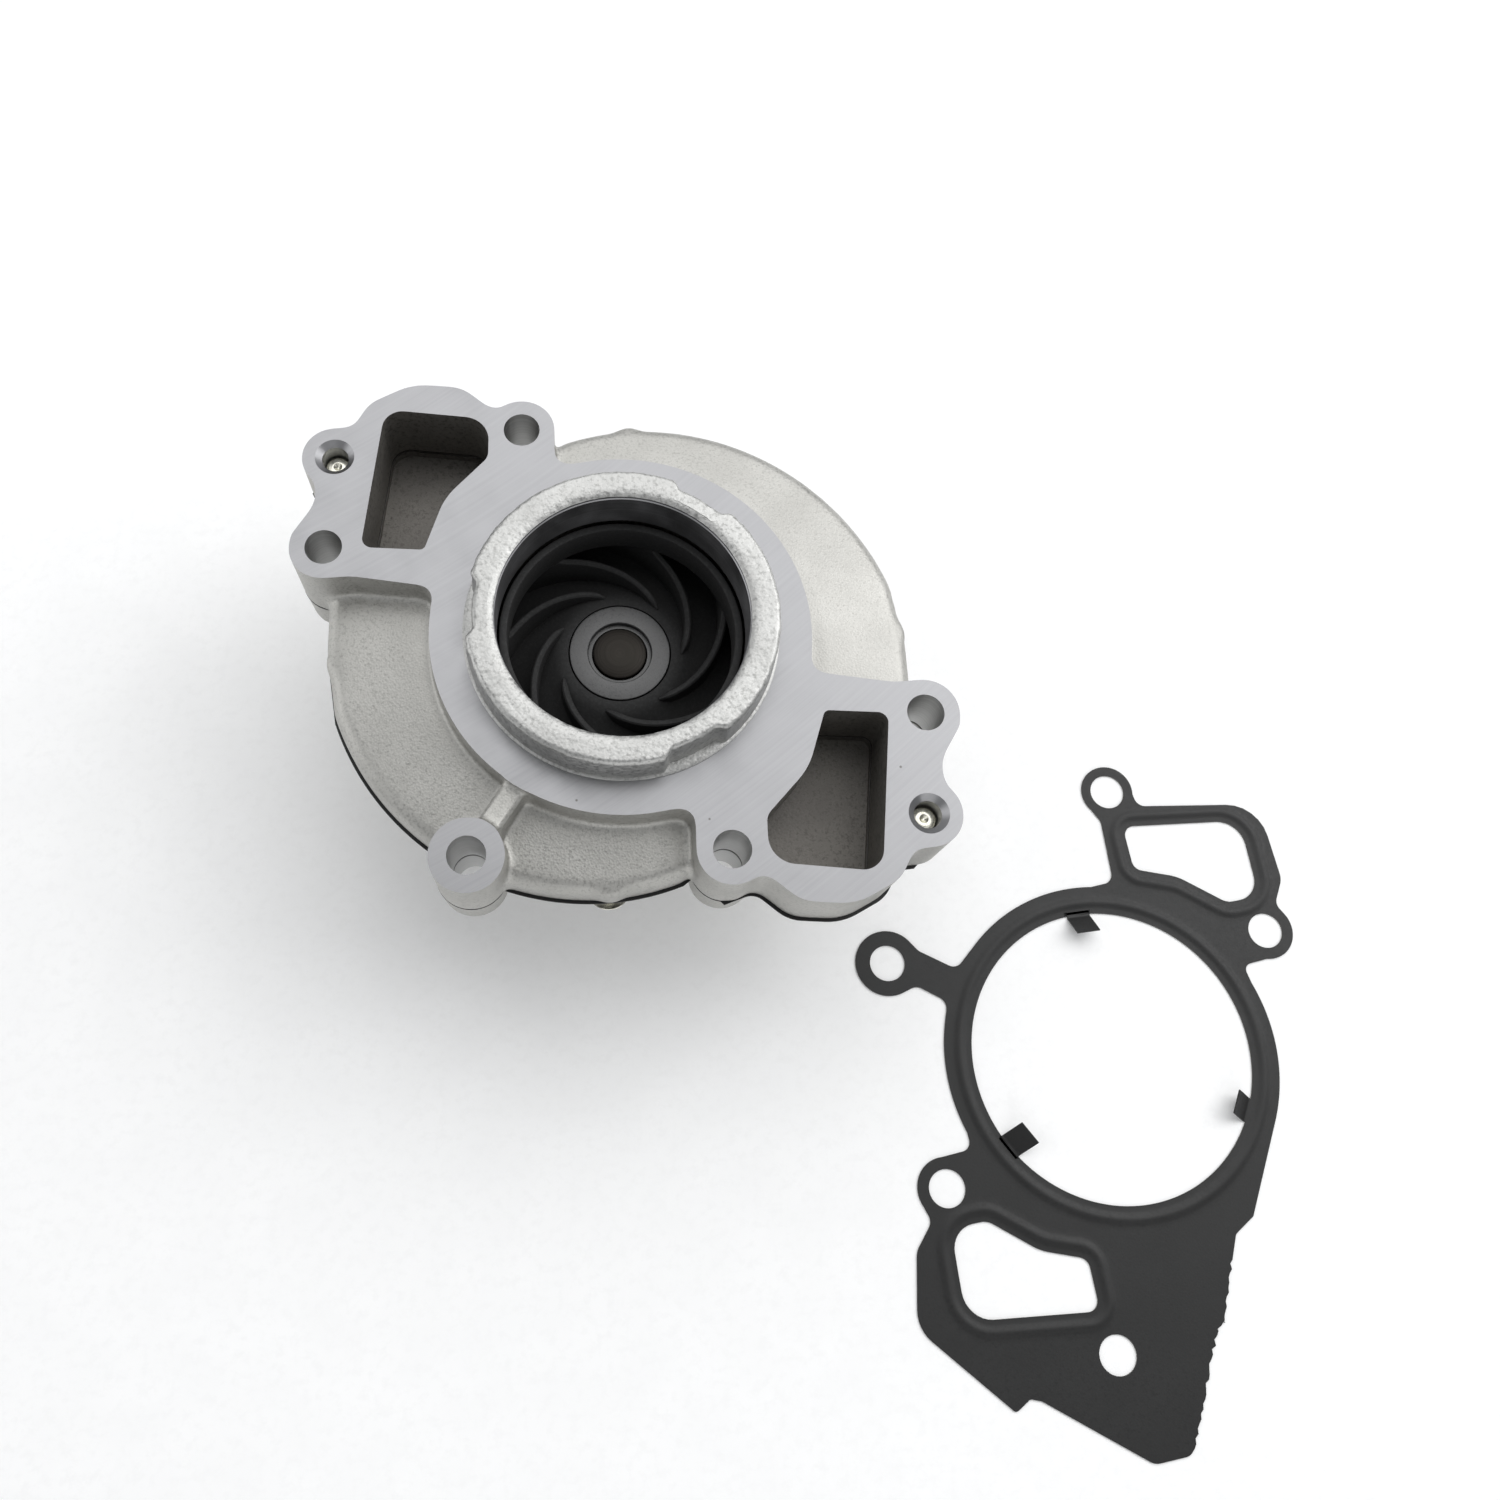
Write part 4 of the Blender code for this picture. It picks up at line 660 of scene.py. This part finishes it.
def rear_casting():
    """Rim, bowl, six ribs and the bearing tower, cast in one and machined at the joint."""
    rim, lobe_a, lobe_b = joint_outlines(-COVER_INSET)
    high = COVER_Z + 3.0
    body = lofted("rear_casting", [(scaled(rim, 0.96), PLATE_Z),
                                   (scaled(rim, 0.985), PLATE_Z + 0.8),
                                   (rim, PLATE_Z + 2.4), (rim, high)], CAST)
    bowl_r = CHAMBER_R + 3.0
    floor_z = CHAMBER_FLOOR_Z - 4.5
    radii = [(p, BOLT_EAR_R) for p in BOLT_HOLES[:4]] + [(ARM_EAR, ARM_EAR_R)]
    ears = [[(circle(p, r - 1.2), EAR_FOOT_Z), (circle(p, r - 0.4), EAR_FOOT_Z + 0.8),
             (circle(p, r), high + 2 * STEP)] for p, r in radii]
    spokes = [(TOWER_R - 3, TOWER_FOOT_Z + 6), (TOWER_R + 0.6, TOWER_FOOT_Z + 6),
              (bowl_r - 3.5, floor_z + 1), (TOWER_R - 3, floor_z + 1)]
    join(body, several("cover_lobes", [prism(lobe_a, PLATE_Z + STEP, high + STEP),
                                       prism(lobe_b, PLATE_Z + STEP, high + STEP)], CAST),
         several("cover_ears", ears, CAST),
         lofted("bowl", spun((0, 0), [(TOWER_R - 1.5, TOWER_FOOT_Z), (TOWER_R, TOWER_FOOT_Z + 1.5),
                                      (TOWER_R + 1, floor_z - 3), (TOWER_R + 4, floor_z),
                                      (bowl_r - 5, floor_z + 0.5), (bowl_r - 1, floor_z + 4),
                                      (bowl_r, high - 3 * STEP)], 180), CAST),
         *[slab(f"spoke_{i}", SPOKE_WIDTH, spokes, 30 + 60 * i, CAST) for i in range(SPOKES)])
    soften(body, 0.65, 12)
    top = lofted("cover_mill", prism(circle((0, 0), MILL_R, 96), COVER_Z,
                                      COVER_Z + 2 * STOCK), MILLED)
    # the chamber, port-floor and throat cutters and the seal rim below take the darkened cast
    # finish: painted shade of the recesses
    chamber = lofted("cover_chamber", spun((0, 0), [
        (CHAMBER_R - 3, CHAMBER_FLOOR_Z), (CHAMBER_R - 1, CHAMBER_FLOOR_Z + 0.8),
        (CHAMBER_R, CHAMBER_FLOOR_Z + 2.6), (CHAMBER_R, COVER_Z + 2)], 180), CAST_PAINTED_SHADE)
    hollow = pair("port_floors", rounded(PORT), PORT_FLOOR_Z, COVER_Z + 2.0, CAST_PAINTED_SHADE)
    lead = pair("cover_throats", rounded(THROAT), PORT_FLOOR_Z + STEP, COVER_Z + 1.9, CAST_PAINTED_SHADE)
    spots = several("spot_faces", [prism(circle(p, SPOT_FACE_R, 48), PLATE_Z - 14, PLATE_Z)
                                   for p in SCREW_PLACES], MILLED)
    cut(body, top, chamber, hollow, lead,
        openings("cover_holes", PLATE_Z - 8, COVER_Z + STOCK, DRILLED), spots)
    join(body, turned("seal_rim", [(SEAL_R - 1, CHAMBER_FLOOR_Z - 1),
                                   (SEAL_R + 4, CHAMBER_FLOOR_Z - 1),
                                   (SEAL_R + 3.6, SEAL_RIM_Z - 0.6), (SEAL_R + 3.0, SEAL_RIM_Z),
                                   (SEAL_R - 1, SEAL_RIM_Z)], CAST_PAINTED_SHADE))
    bore_r, lip_r, chamfer = BEARING_R + GAP, 13.0, 0.8
    cut(body, lofted("tower_bore", spun((0, 0), [
        (bore_r + chamfer, TOWER_FOOT_Z - 1), (bore_r + chamfer, TOWER_FOOT_Z),
        (bore_r, TOWER_FOOT_Z + chamfer), (bore_r, BEARING_Z[1] + GAP),
        (lip_r, BEARING_Z[1] + GAP), (lip_r, SEAL_FLOOR_Z), (SEAL_R + GAP, SEAL_FLOOR_Z),
        (SEAL_R + GAP, COVER_Z)], 128), BORED))
    weep = [(lip_r - 3, SEAL_FLOOR_Z - 2.6), (TOWER_R + 9, SEAL_FLOOR_Z - 10),
            (TOWER_R + 9, SEAL_FLOOR_Z - 5.5), (lip_r - 3, SEAL_FLOOR_Z - 0.2)]
    cut(body, slab("weep", WEEP_WIDTH, weep, -90.0, DRILLED))
    settle(body)
    place_piece(body, "housing", "cast_aluminium", "rear_cover")


def thread(low, high, crest, root, pitch):
    """(radius, height) steps of a rolled thread, as close rings."""
    steps = []
    turns = int((high - low) / pitch)
    for i in range(turns):
        z = low + i * pitch
        steps += [(root, z + 0.12 * pitch), (crest, z + 0.42 * pitch), (crest, z + 0.58 * pitch),
                  (root, z + 0.88 * pitch)]
    return steps


def cover_screws():
    """Flanged hexagon screws; the ends of two show, dimpled, in the mounting face."""
    seat = PLATE_Z - GAP
    head = seat - HEAD_HEIGHT
    around = 48
    hexagon = []
    for k in range(around):
        angle = 2 * math.pi * k / around
        reach = math.cos(math.pi / 6) / math.cos((angle + math.pi / 6) % (math.pi / 3)
                                                 - math.pi / 6)
        hexagon.append((HEX_R * reach, math.cos(angle), math.sin(angle)))

    def ring(place, radius, z, share=0.0):
        """An outline from round (share 0) to hexagonal (share 1)."""
        return ([(place[0] + (corner * share + radius * (1 - share)) * u,
                  place[1] + (corner * share + radius * (1 - share)) * v)
                 for corner, u, v in hexagon], z)

    for i, place in enumerate(SCREW_PLACES):
        end = FACE_Z - 5.0 if i < THROUGH_SCREWS else JOINT_Z + 5.7
        steps = [(2.6, head + 0.9), (3.0, head + 0.25), (3.6, head), (4.3, head + 0.1, 0.5),
                 (4.3, head + 0.5, 1.0), (4.3, seat - 1.5, 1.0), (4.7, seat - 1.2, 0.5),
                 (HEAD_R - 0.2, seat - 0.9), (HEAD_R, seat - 0.6), (HEAD_R, seat - 0.1),
                 (HEAD_R - 0.1, seat), (SCREW_R - 0.1, seat)]
        steps += thread(seat + 1.0, end - 1.2, SCREW_R, 2.55, 1.0)
        steps += [(2.9, end - 1.1), (2.9, end - 0.7), (2.3, end - 0.15), (1.9, end),
                  (1.1, end - 0.05), (0.6, end - 0.5), (0.2, end - 0.75)]
        bm = bmesh.new()
        add_loft(bm, [ring(place, *step) for step in steps])
        screw = make_object(f"screw_{i + 1}", bm, ZINC)
        place_piece(screw, "housing", "zinc_plated_steel", f"cover_screw_{i + 1}")


# ---- rotor --------------------------------------------------------------------------------------
BACK_PLATE_TOP = ((INSERT_R + GAP, 59.3), (14.5, 59.2), (16.5, 58.1), (18.0, 56.8), (21.0, 54.8),
                  (24.0, 53.2), (28.0, 51.6), (32.0, 50.4), (38.0, 49.4), (IMPELLER_R, 48.8))
SHROUD_UNDER = ((EYE_R, 63.5), (EYE_R + 1.0, 61.6), (31.0, 60.0), (36.0, 58.2), (40.0, 57.4),
                (IMPELLER_R, 56.9))


def height_on(line, radius):
    """Height of a falling (radius, height) line at one radius."""
    for (r0, z0), (r1, z1) in zip(line, line[1:]):
        if radius <= r1:
            return z0 + (z1 - z0) * (radius - r0) / (r1 - r0)
    return line[-1][1]


def vane(i):
    """One backward-swept vane with a rounded leading edge, sunk a little into both plates."""
    start, tip = 15.5, IMPELLER_R - 0.4
    stations, nose = 32, 3
    leading = ((start, 60.2), (EYE_R, 62.4))
    bm = bmesh.new()
    rings = []
    for k in range(stations + 1):
        radius = start * (tip / start) ** (k / stations)
        angle = 2 * math.pi * i / VANES + VANE_SWEEP * math.log(radius / start)
        low = height_on(BACK_PLATE_TOP, radius) - 0.8
        open_eye = radius < EYE_R
        high = height_on(leading, radius) if open_eye else height_on(SHROUD_UNDER, radius) + 0.7
        high -= 1.2 * max(0.0, 1 - k / nose) ** 2
        half = VANE_HALF * min(1.0, math.sqrt((k + 0.6) / nose))
        out = Vector((math.cos(angle), math.sin(angle), 0))
        along = Vector((-out.y, out.x, 0)) * VANE_SWEEP + out
        across = Vector((-along.y, along.x, 0)).normalized() * half
        side = [(-1, low), (1, low), (0.85, high - 0.9), (0.7, high - 0.3), (0.35, high),
                (-0.35, high), (-0.7, high - 0.3), (-0.85, high - 0.9)]
        rings.append([bm.verts.new(out * radius + across * s + Vector((0, 0, z)))
                      for s, z in side])
    for last, ring in zip(rings, rings[1:]):
        for k in range(len(ring)):
            bm.faces.new((last[k - 1], last[k], ring[k], ring[k - 1]))
    bm.faces.new(rings[0])
    bm.faces.new(rings[-1])
    return make_object(f"vane_{i}", bm, NYLON)


def impeller():
    """Back plate, seven vanes and the shroud with its eye ring, moulded in one."""
    foot = 54.7
    under = [(IMPELLER_R - 0.4, 46.4), (IMPELLER_R - 0.8, 46.4), (30.0, 46.8), (24.0, 49.2),
             (18.5, 51.5), (16.0, 52.0), (16.0, foot), (INSERT_R + GAP, foot)]
    top = list(BACK_PLATE_TOP[::-1])
    wheel = turned("impeller_wheel", under[::-1] + [(IMPELLER_R, 46.8), (IMPELLER_R, 48.4)] +
                   [(IMPELLER_R - 0.4, 48.8)] + top[1:], NYLON)
    outer = EYE_R + 2.0
    lip = EYE_TOP_Z
    shroud = list(SHROUD_UNDER[:-1]) + [
        (IMPELLER_R - 0.4, 56.9), (IMPELLER_R, 57.3), (IMPELLER_R, 58.5), (IMPELLER_R - 0.4, 58.9),
        (37.0, 60.6), (34.5, 61.5), (32.5, 62.6), (30.6, 64.0), (outer + 0.2, 65.4),
        (outer, 66.5), (outer, lip - 0.5), (outer - 0.15, lip - 0.15), (outer - 0.5, lip),
        (EYE_R + 0.45, lip), (EYE_R + 0.12, lip - 0.12), (EYE_R, lip - 0.45)]
    join(wheel, turned("shroud", shroud, NYLON), *[vane(i) for i in range(VANES)])
    settle(wheel)
    place_piece(wheel, "rotor", "glass_filled_plastic", "impeller")


def rotor_metal():
    """Insert, shaft and hub."""
    bore = NOSE_R + GAP
    foot = SHAFT_STEP_Z + GAP
    top = INSERT_TOP_Z
    insert = turned("insert_ring", [
        (bore, foot), (INSERT_R - 0.3, foot), (INSERT_R, foot + 0.3), (INSERT_R, top - 0.35),
        (INSERT_R - 0.1, top - 0.1), (INSERT_R - 0.35, top), (bore + 1.15, top),
        (bore + 0.95, top - 0.2), (bore + 0.9, top - 1.4), (bore, top - 1.4)], SINTERED)
    place_piece(insert, "rotor", "bearing_steel", "impeller_insert")
    low, high = BALL_TRACK_Z
    profile = [(0.7, 0.9), (1.6, 0.35), (2.0, 0.0), (SHAFT_R - 0.7, 0.0), (SHAFT_R - 0.15, 0.25),
               (SHAFT_R, 0.8), (SHAFT_R, low)]
    profile += [(SHAFT_R - TRACK_DEPTH * math.sin(math.pi * k / 8), low + (high - low) * k / 8)
                for k in range(1, 8)]
    profile += [(SHAFT_R, high), (SHAFT_R, SHAFT_STEP_Z - 0.3), (SHAFT_R - 0.3, SHAFT_STEP_Z),
                (NOSE_R, SHAFT_STEP_Z), (NOSE_R, SHAFT_TOP_Z - 0.55),
                (NOSE_R - 0.12, SHAFT_TOP_Z - 0.22), (NOSE_R - 0.5, SHAFT_TOP_Z),
                (2.0, SHAFT_TOP_Z)]
    shaft = lofted("pump_shaft", spun((0, 0), profile, 96), OILED)
    place_piece(shaft, "rotor", "bearing_steel", "shaft")
    bore = SHAFT_R + GAP
    hub = turned("hub_flange", [
        (bore, 0.6), (bore + 0.6, 0.0), (18.0, 0.0), (18.4, 0.25), (30.0, 0.25), (30.4, 0.0),
        (HUB_R - 0.9, 0.0), (HUB_R - 0.25, 0.25), (HUB_R, 0.9), (HUB_R, 5.1), (HUB_R - 0.25, 5.75),
        (HUB_R - 0.9, 6.0), (18.6, 6.0), (16.6, 6.5), (15.1, 7.6), (14.5, 9.2), (14.5, 11.0),
        (13.9, 11.6), (bore + 0.6, 11.6), (bore, 11.0)], TURNED)
    taps = []
    for i in range(PULLEY_HOLES):
        angle = math.radians(90 + 360 * i / PULLEY_HOLES)
        place = (PULLEY_CIRCLE_R * math.cos(angle), PULLEY_CIRCLE_R * math.sin(angle))
        rings = [(4.2, -1.0), (4.2, 0.1), (3.6, 0.7)] + thread(0.8, 5.6, 3.75, 3.35, 1.25)
        taps.append(spun(place, rings + [(3.6, 5.6), (4.2, 6.1), (4.2, 7.0)], 48))
    cut(hub, several("taps", taps, TURNED))
    settle(hub)
    place_piece(hub, "rotor", "bearing_steel", "pulley_hub")


# ---- gasket -------------------------------------------------------------------------------------
def gasket_outline():
    """Outer edge in the pump's own bolt pattern: ring, port loops, arm and torn-off web."""
    ring = RING_R[1]
    ear = GASKET_EAR_R
    low_ear = half_turn([BOLT_EARS[0]])[0]
    points = bent((97.8, -19.5, 0), (97.8, -9.5, 3), (71.5, 6.3, 1), (70.0, 8.6, 1),
                  (50.5, 18.8, 2), (47.2, 24.9, 1), (33.0, 33.8, 0))
    points += arc((0, 0), ring, 58, 104, 30)
    points += bent((-12.0, 45.0, 0), (-16.6, 44.6, 2), (-16.7, 52.0, 0))
    points += arc(BOLT_EARS[0], ear, -15, 112, 20)
    points += bent((-27.6, 61.5, 0), (-31.4, 59.6, 3), (-38.0, 63.9, 6), (-60.5, 64.5, 11),
                   (-66.4, 28.6, 3), (-70.0, 28.6, 0))
    points += arc(BOLT_EARS[1], ear - 0.4, 75, 305, 34)
    points += bent((-67.6, 14.8, 0), (-64.0, 16.8, 3), (-46.2, 15.0, 3), (-45.9, 8.0, 0))
    points += arc((0, 0), ring, 170, 220, 32)
    points += bent((-34.5, -31.4, 0), (-30.6, -36.4, 3), (-37.4, -45.6, 3), (-41.0, -47.8, 0))
    points += arc(ARM_EAR, ear + 1, 118, 375, 36)
    points += bent((-27.2, -52.0, 0), (-28.2, -48.6, 3), (-22.4, -41.2, 3), (-17.0, -43.4, 0))
    points += arc((0, 0), ring, 249, 285, 24)
    points += bent((12.0, -45.0, 0), (16.4, -45.0, 2.5), (16.5, -52.0, 0))
    points += arc(low_ear, ear, 175, 292, 18)
    points += bent((27.6, -61.5, 0), (31.8, -60.2, 3), (38.0, -66.0, 6), (56.0, -70.6, 9),
                   (79.6, -50.8, 1), (77.3, -46.4, 1), (78.4, -43.6, 1), (97.8, -19.5, 4),
                   (97.8, -9.5, 0))
    return points


def spaced(loop, step):
    """The closed loop again, with points no further than step apart."""
    points = []
    for i, here in enumerate(loop):
        last = Vector(loop[i - 1])
        run = Vector(here) - last
        count = max(1, math.ceil(run.length / step))
        points += [tuple(last + run * k / count) for k in range(count)]
    return points


def nearest(points, loop):
    """Distance from each point to a closed loop."""
    a = np.array(loop)
    run = np.roll(a, -1, axis=0) - a
    length = (run ** 2).sum(1)
    best = np.full(len(points), 1e9)
    for start, way, square in zip(a, run, length):
        away = points - start
        t = np.clip(away @ way / square, 0, 1)
        best = np.minimum(best, np.hypot(*(away - t[:, None] * way).T))
    return best


def inside(points, loop):
    """Whether each point lies in a closed loop."""
    hits = np.zeros(len(points), bool)
    for (x0, y0), (x1, y1) in zip(loop, loop[1:] + loop[:1]):
        spans = (y0 > points[:, 1]) != (y1 > points[:, 1])
        if spans.any():
            hits ^= spans & (points[:, 0] < (x1 - x0) * (points[:, 1] - y0) / (y1 - y0) + x0)
    return hits


def torn(rim):
    """The rim with its web's outer edge left ragged where the neighbour was torn off."""
    start, end = (Vector(p) for p in TORN_EDGE)
    way = (end - start).normalized()
    dice = random.Random(7)
    points = []
    for x, y in rim:
        here = Vector((x, y))
        run = (here - start).dot(way)
        if 1.0 < run < 47.0 and abs((here - start).cross(way)) < 4.0:
            here += way.orthogonal() * dice.uniform(-0.45, 0.45)
        points.append(tuple(here))
    return points


def bent_tab(name, angle):
    """One locating tab, bent up from the ring's inner edge."""
    thick = GASKET_THICKNESS
    root = RING_R[0]
    bends = [math.radians(TAB_LEAN * k / 5) for k in range(1, 6)]
    path = [(root + 0.9, 0.0), (root + 0.2, 0.0)]
    path += [(root - 0.2 - TAB_BEND_R * math.sin(a), TAB_BEND_R - TAB_BEND_R * math.cos(a))
             for a in bends]
    path.append((path[-1][0] - TAB_LENGTH, path[-1][1] + TAB_LENGTH))
    top = [(r, z + thick) for r, z in path[:2]]
    top += [(r + thick * math.sin(a), z + thick * math.cos(a))
            for a, (r, z) in zip(bends, path[2:])]
    top.append((path[-1][0] + thick * 0.707, path[-1][1] + thick * 0.707))
    tab = slab(name, TAB_WIDTH, path + top[::-1], angle, COATED)
    tab.data.transform(Matrix.Translation(Vector((*GASKET_PLACE, 0)) * MM))
    return tab


def gasket():
    """A thin pressing: raised beads round the ring and both ports, and a torn web."""
    rim = torn(spaced(gasket_outline(), 1.2))
    ports = [rounded(GASKET_PORT, 8), half_turn(rounded(GASKET_PORT, 8))]
    holes = [circle((0, 0), RING_R[0], 220)] + [spaced(p, 1.2) for p in ports]
    holes += [circle(p, GASKET_HOLE_R, 40) for p in BOLT_HOLES]
    beads = [circle((0, 0), RING_R[0] + 3.3, 240)] + [spaced(offset(p, 3.1), 1.0) for p in ports]
    loops = [rim] + holes
    extra = []
    for bead in beads:
        for k in range(-4, 5):
            extra += offset(bead, BEAD_HALF * k / 4)
    grid = [(x * 1.3 + 0.65 * (y % 2), y * 1.13) for x in range(-66, 78) for y in range(-66, 62)]
    spare = np.array(extra + grid)
    near_bead = np.min([nearest(spare, bead) for bead in beads], axis=0)
    keep = inside(spare, rim)
    for loop in holes:
        keep &= ~inside(spare, loop)
    keep &= np.min([nearest(spare, loop) for loop in loops], axis=0) > 0.45
    is_grid = np.arange(len(spare)) >= len(extra)
    keep &= ~(is_grid & (near_bead < BEAD_HALF + 0.6))
    keep &= is_grid | (near_bead < BEAD_HALF + 0.1)
    points = [p for loop in loops for p in loop] + [tuple(p) for p in spare[keep]]
    borders = []
    first = 0
    for loop in loops:
        borders += [(first + k, first + (k + 1) % len(loop)) for k in range(len(loop))]
        first += len(loop)
    flat, _, faces, *_ = geometry.delaunay_2d_cdt([Vector(p) for p in points], borders, [], 4,
                                                  1e-5)
    xy = np.array([tuple(p) for p in flat])
    away = np.min([nearest(xy, bead) for bead in beads], axis=0)
    lift = BEAD_HEIGHT * np.cos(np.clip(away / BEAD_HALF, 0, 1) * math.pi / 2) ** 2
    middles = np.array([np.mean(xy[list(face)], axis=0) for face in faces])
    solid = inside(middles, rim)
    for loop in holes:
        solid &= ~inside(middles, loop)
    turn = Matrix.Rotation(math.radians(GASKET_TURN), 2)
    bm = bmesh.new()
    sides = []
    for level in (0.0, GASKET_THICKNESS):
        column = []
        for (x, y), up in zip(xy, lift):
            spot = turn @ Vector((x, y)) + Vector(GASKET_PLACE)
            column.append(bm.verts.new((spot.x, spot.y, up + level)))
        sides.append(column)
    edges = {}
    for face in (face for face, kept in zip(faces, solid) if kept):
        bm.faces.new([sides[1][k] for k in face])
        bm.faces.new([sides[0][k] for k in reversed(face)])
        edges.update(((a, b), True) for a, b in zip(face, face[1:] + face[:1]))
    for a, b in edges:
        if (b, a) not in edges:
            wall = bm.faces.new((sides[1][a], sides[0][a], sides[0][b], sides[1][b]))
            wall.material_index = 1
    sheet = make_object("gasket_pressing", bm, COATED)
    sheet.data.materials.append(SHEARED)
    join(sheet, *[bent_tab(f"tab_{i}", angle + GASKET_TURN)
                  for i, angle in enumerate(NOTCH_ANGLES)])
    settle(sheet, 40)
    place_piece(sheet, "gasket", "coated_steel_sheet", "mounting_gasket")


front_casting()
joint_sheet()
rear_casting()
cover_screws()
impeller()
rotor_metal()
gasket()

NODE_FINISHES = {
    "bearing_outer_ring": TURNED, "seal_spring": TURNED, "bearing_seal_lower": RUBBER,
    "bearing_seal_upper": RUBBER, "seal_bellows": RUBBER, "seat_cup": RUBBER, "slinger": RUBBER,
    "seal_cup": BRASS, "carbon_ring": CARBON, "seal_seat": CERAMIC, "ball_cage": NYLON,
    "roller_cage": NYLON}
NODE_FINISHES.update({f"{kind}_{i}": TURNED for kind in ("ball", "roller") for i in range(1, 10)})
for node, paint in NODE_FINISHES.items():
    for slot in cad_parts[node].material_slots:
        slot.material = paint


# ---- stage --------------------------------------------------------------------------------------
def floor():
    bm = bmesh.new()
    bmesh.ops.create_grid(bm, x_segments=2, y_segments=2, size=4000)
    item = make_object("floor", bm, grainy("matt white sweep", ("#FDFDFD", "#FFFFFF", "#FBFBFB"),
                                           0.0, (0.8, 0.9), 2.0, 0.002))
    item.location.z = -0.05 * MM


def lamp(name, place, size, power, colour, aim=(0.0, 0.0, 60.0)):
    data = bpy.data.lights.new(name, "AREA")
    data.shape = "RECTANGLE"
    data.size, data.size_y = size[0] * MM, size[1] * MM
    data.energy = power
    data.color = linear(colour)[:3]
    item = bpy.data.objects.new(name, data)
    item.location = Vector(place) * MM
    item.rotation_euler = (Vector(aim) - Vector(place)).to_track_quat("-Z", "Y").to_euler()
    bpy.context.collection.objects.link(item)


def camera():
    data = bpy.data.cameras.new("camera")
    data.sensor_width = 36.0
    data.lens = 32.58
    data.shift_x = 0.065
    data.shift_y = -0.0302
    item = bpy.data.objects.new("camera", data)
    right = Vector((0.99838, -0.01875, 0.05373))
    up = Vector((0.0, 0.9441, 0.3295))
    back = right.cross(up)
    turn = Matrix((right, up, back)).transposed().to_4x4()
    item.matrix_world = Matrix.Translation(Vector((-11.2, -124.5, 376.5)) * MM) @ turn
    bpy.context.collection.objects.link(item)
    bpy.context.scene.camera = item


floor()
lamp("overhead", (180.0, 560.0, 950.0), (1500.0, 1200.0), 8.4, "#FFFFFF")
lamp("left", (-1150.0, 100.0, 520.0), (900.0, 900.0), 3.6, "#FFFFFF")
lamp("right", (1000.0, 300.0, 800.0), (900.0, 900.0), 6.0, "#FFFFFF")
lamp("front", (200.0, -1150.0, 420.0), (1500.0, 700.0), 3.0, "#FFFFFF")
sky = bpy.data.worlds.new("sky")
sky.use_nodes = True
sky.node_tree.nodes["Background"].inputs["Color"].default_value = linear("#F4F6F8")
sky.node_tree.nodes["Background"].inputs["Strength"].default_value = 0.4
bpy.context.scene.world = sky
bpy.context.scene.view_settings.view_transform = "Standard"
camera()
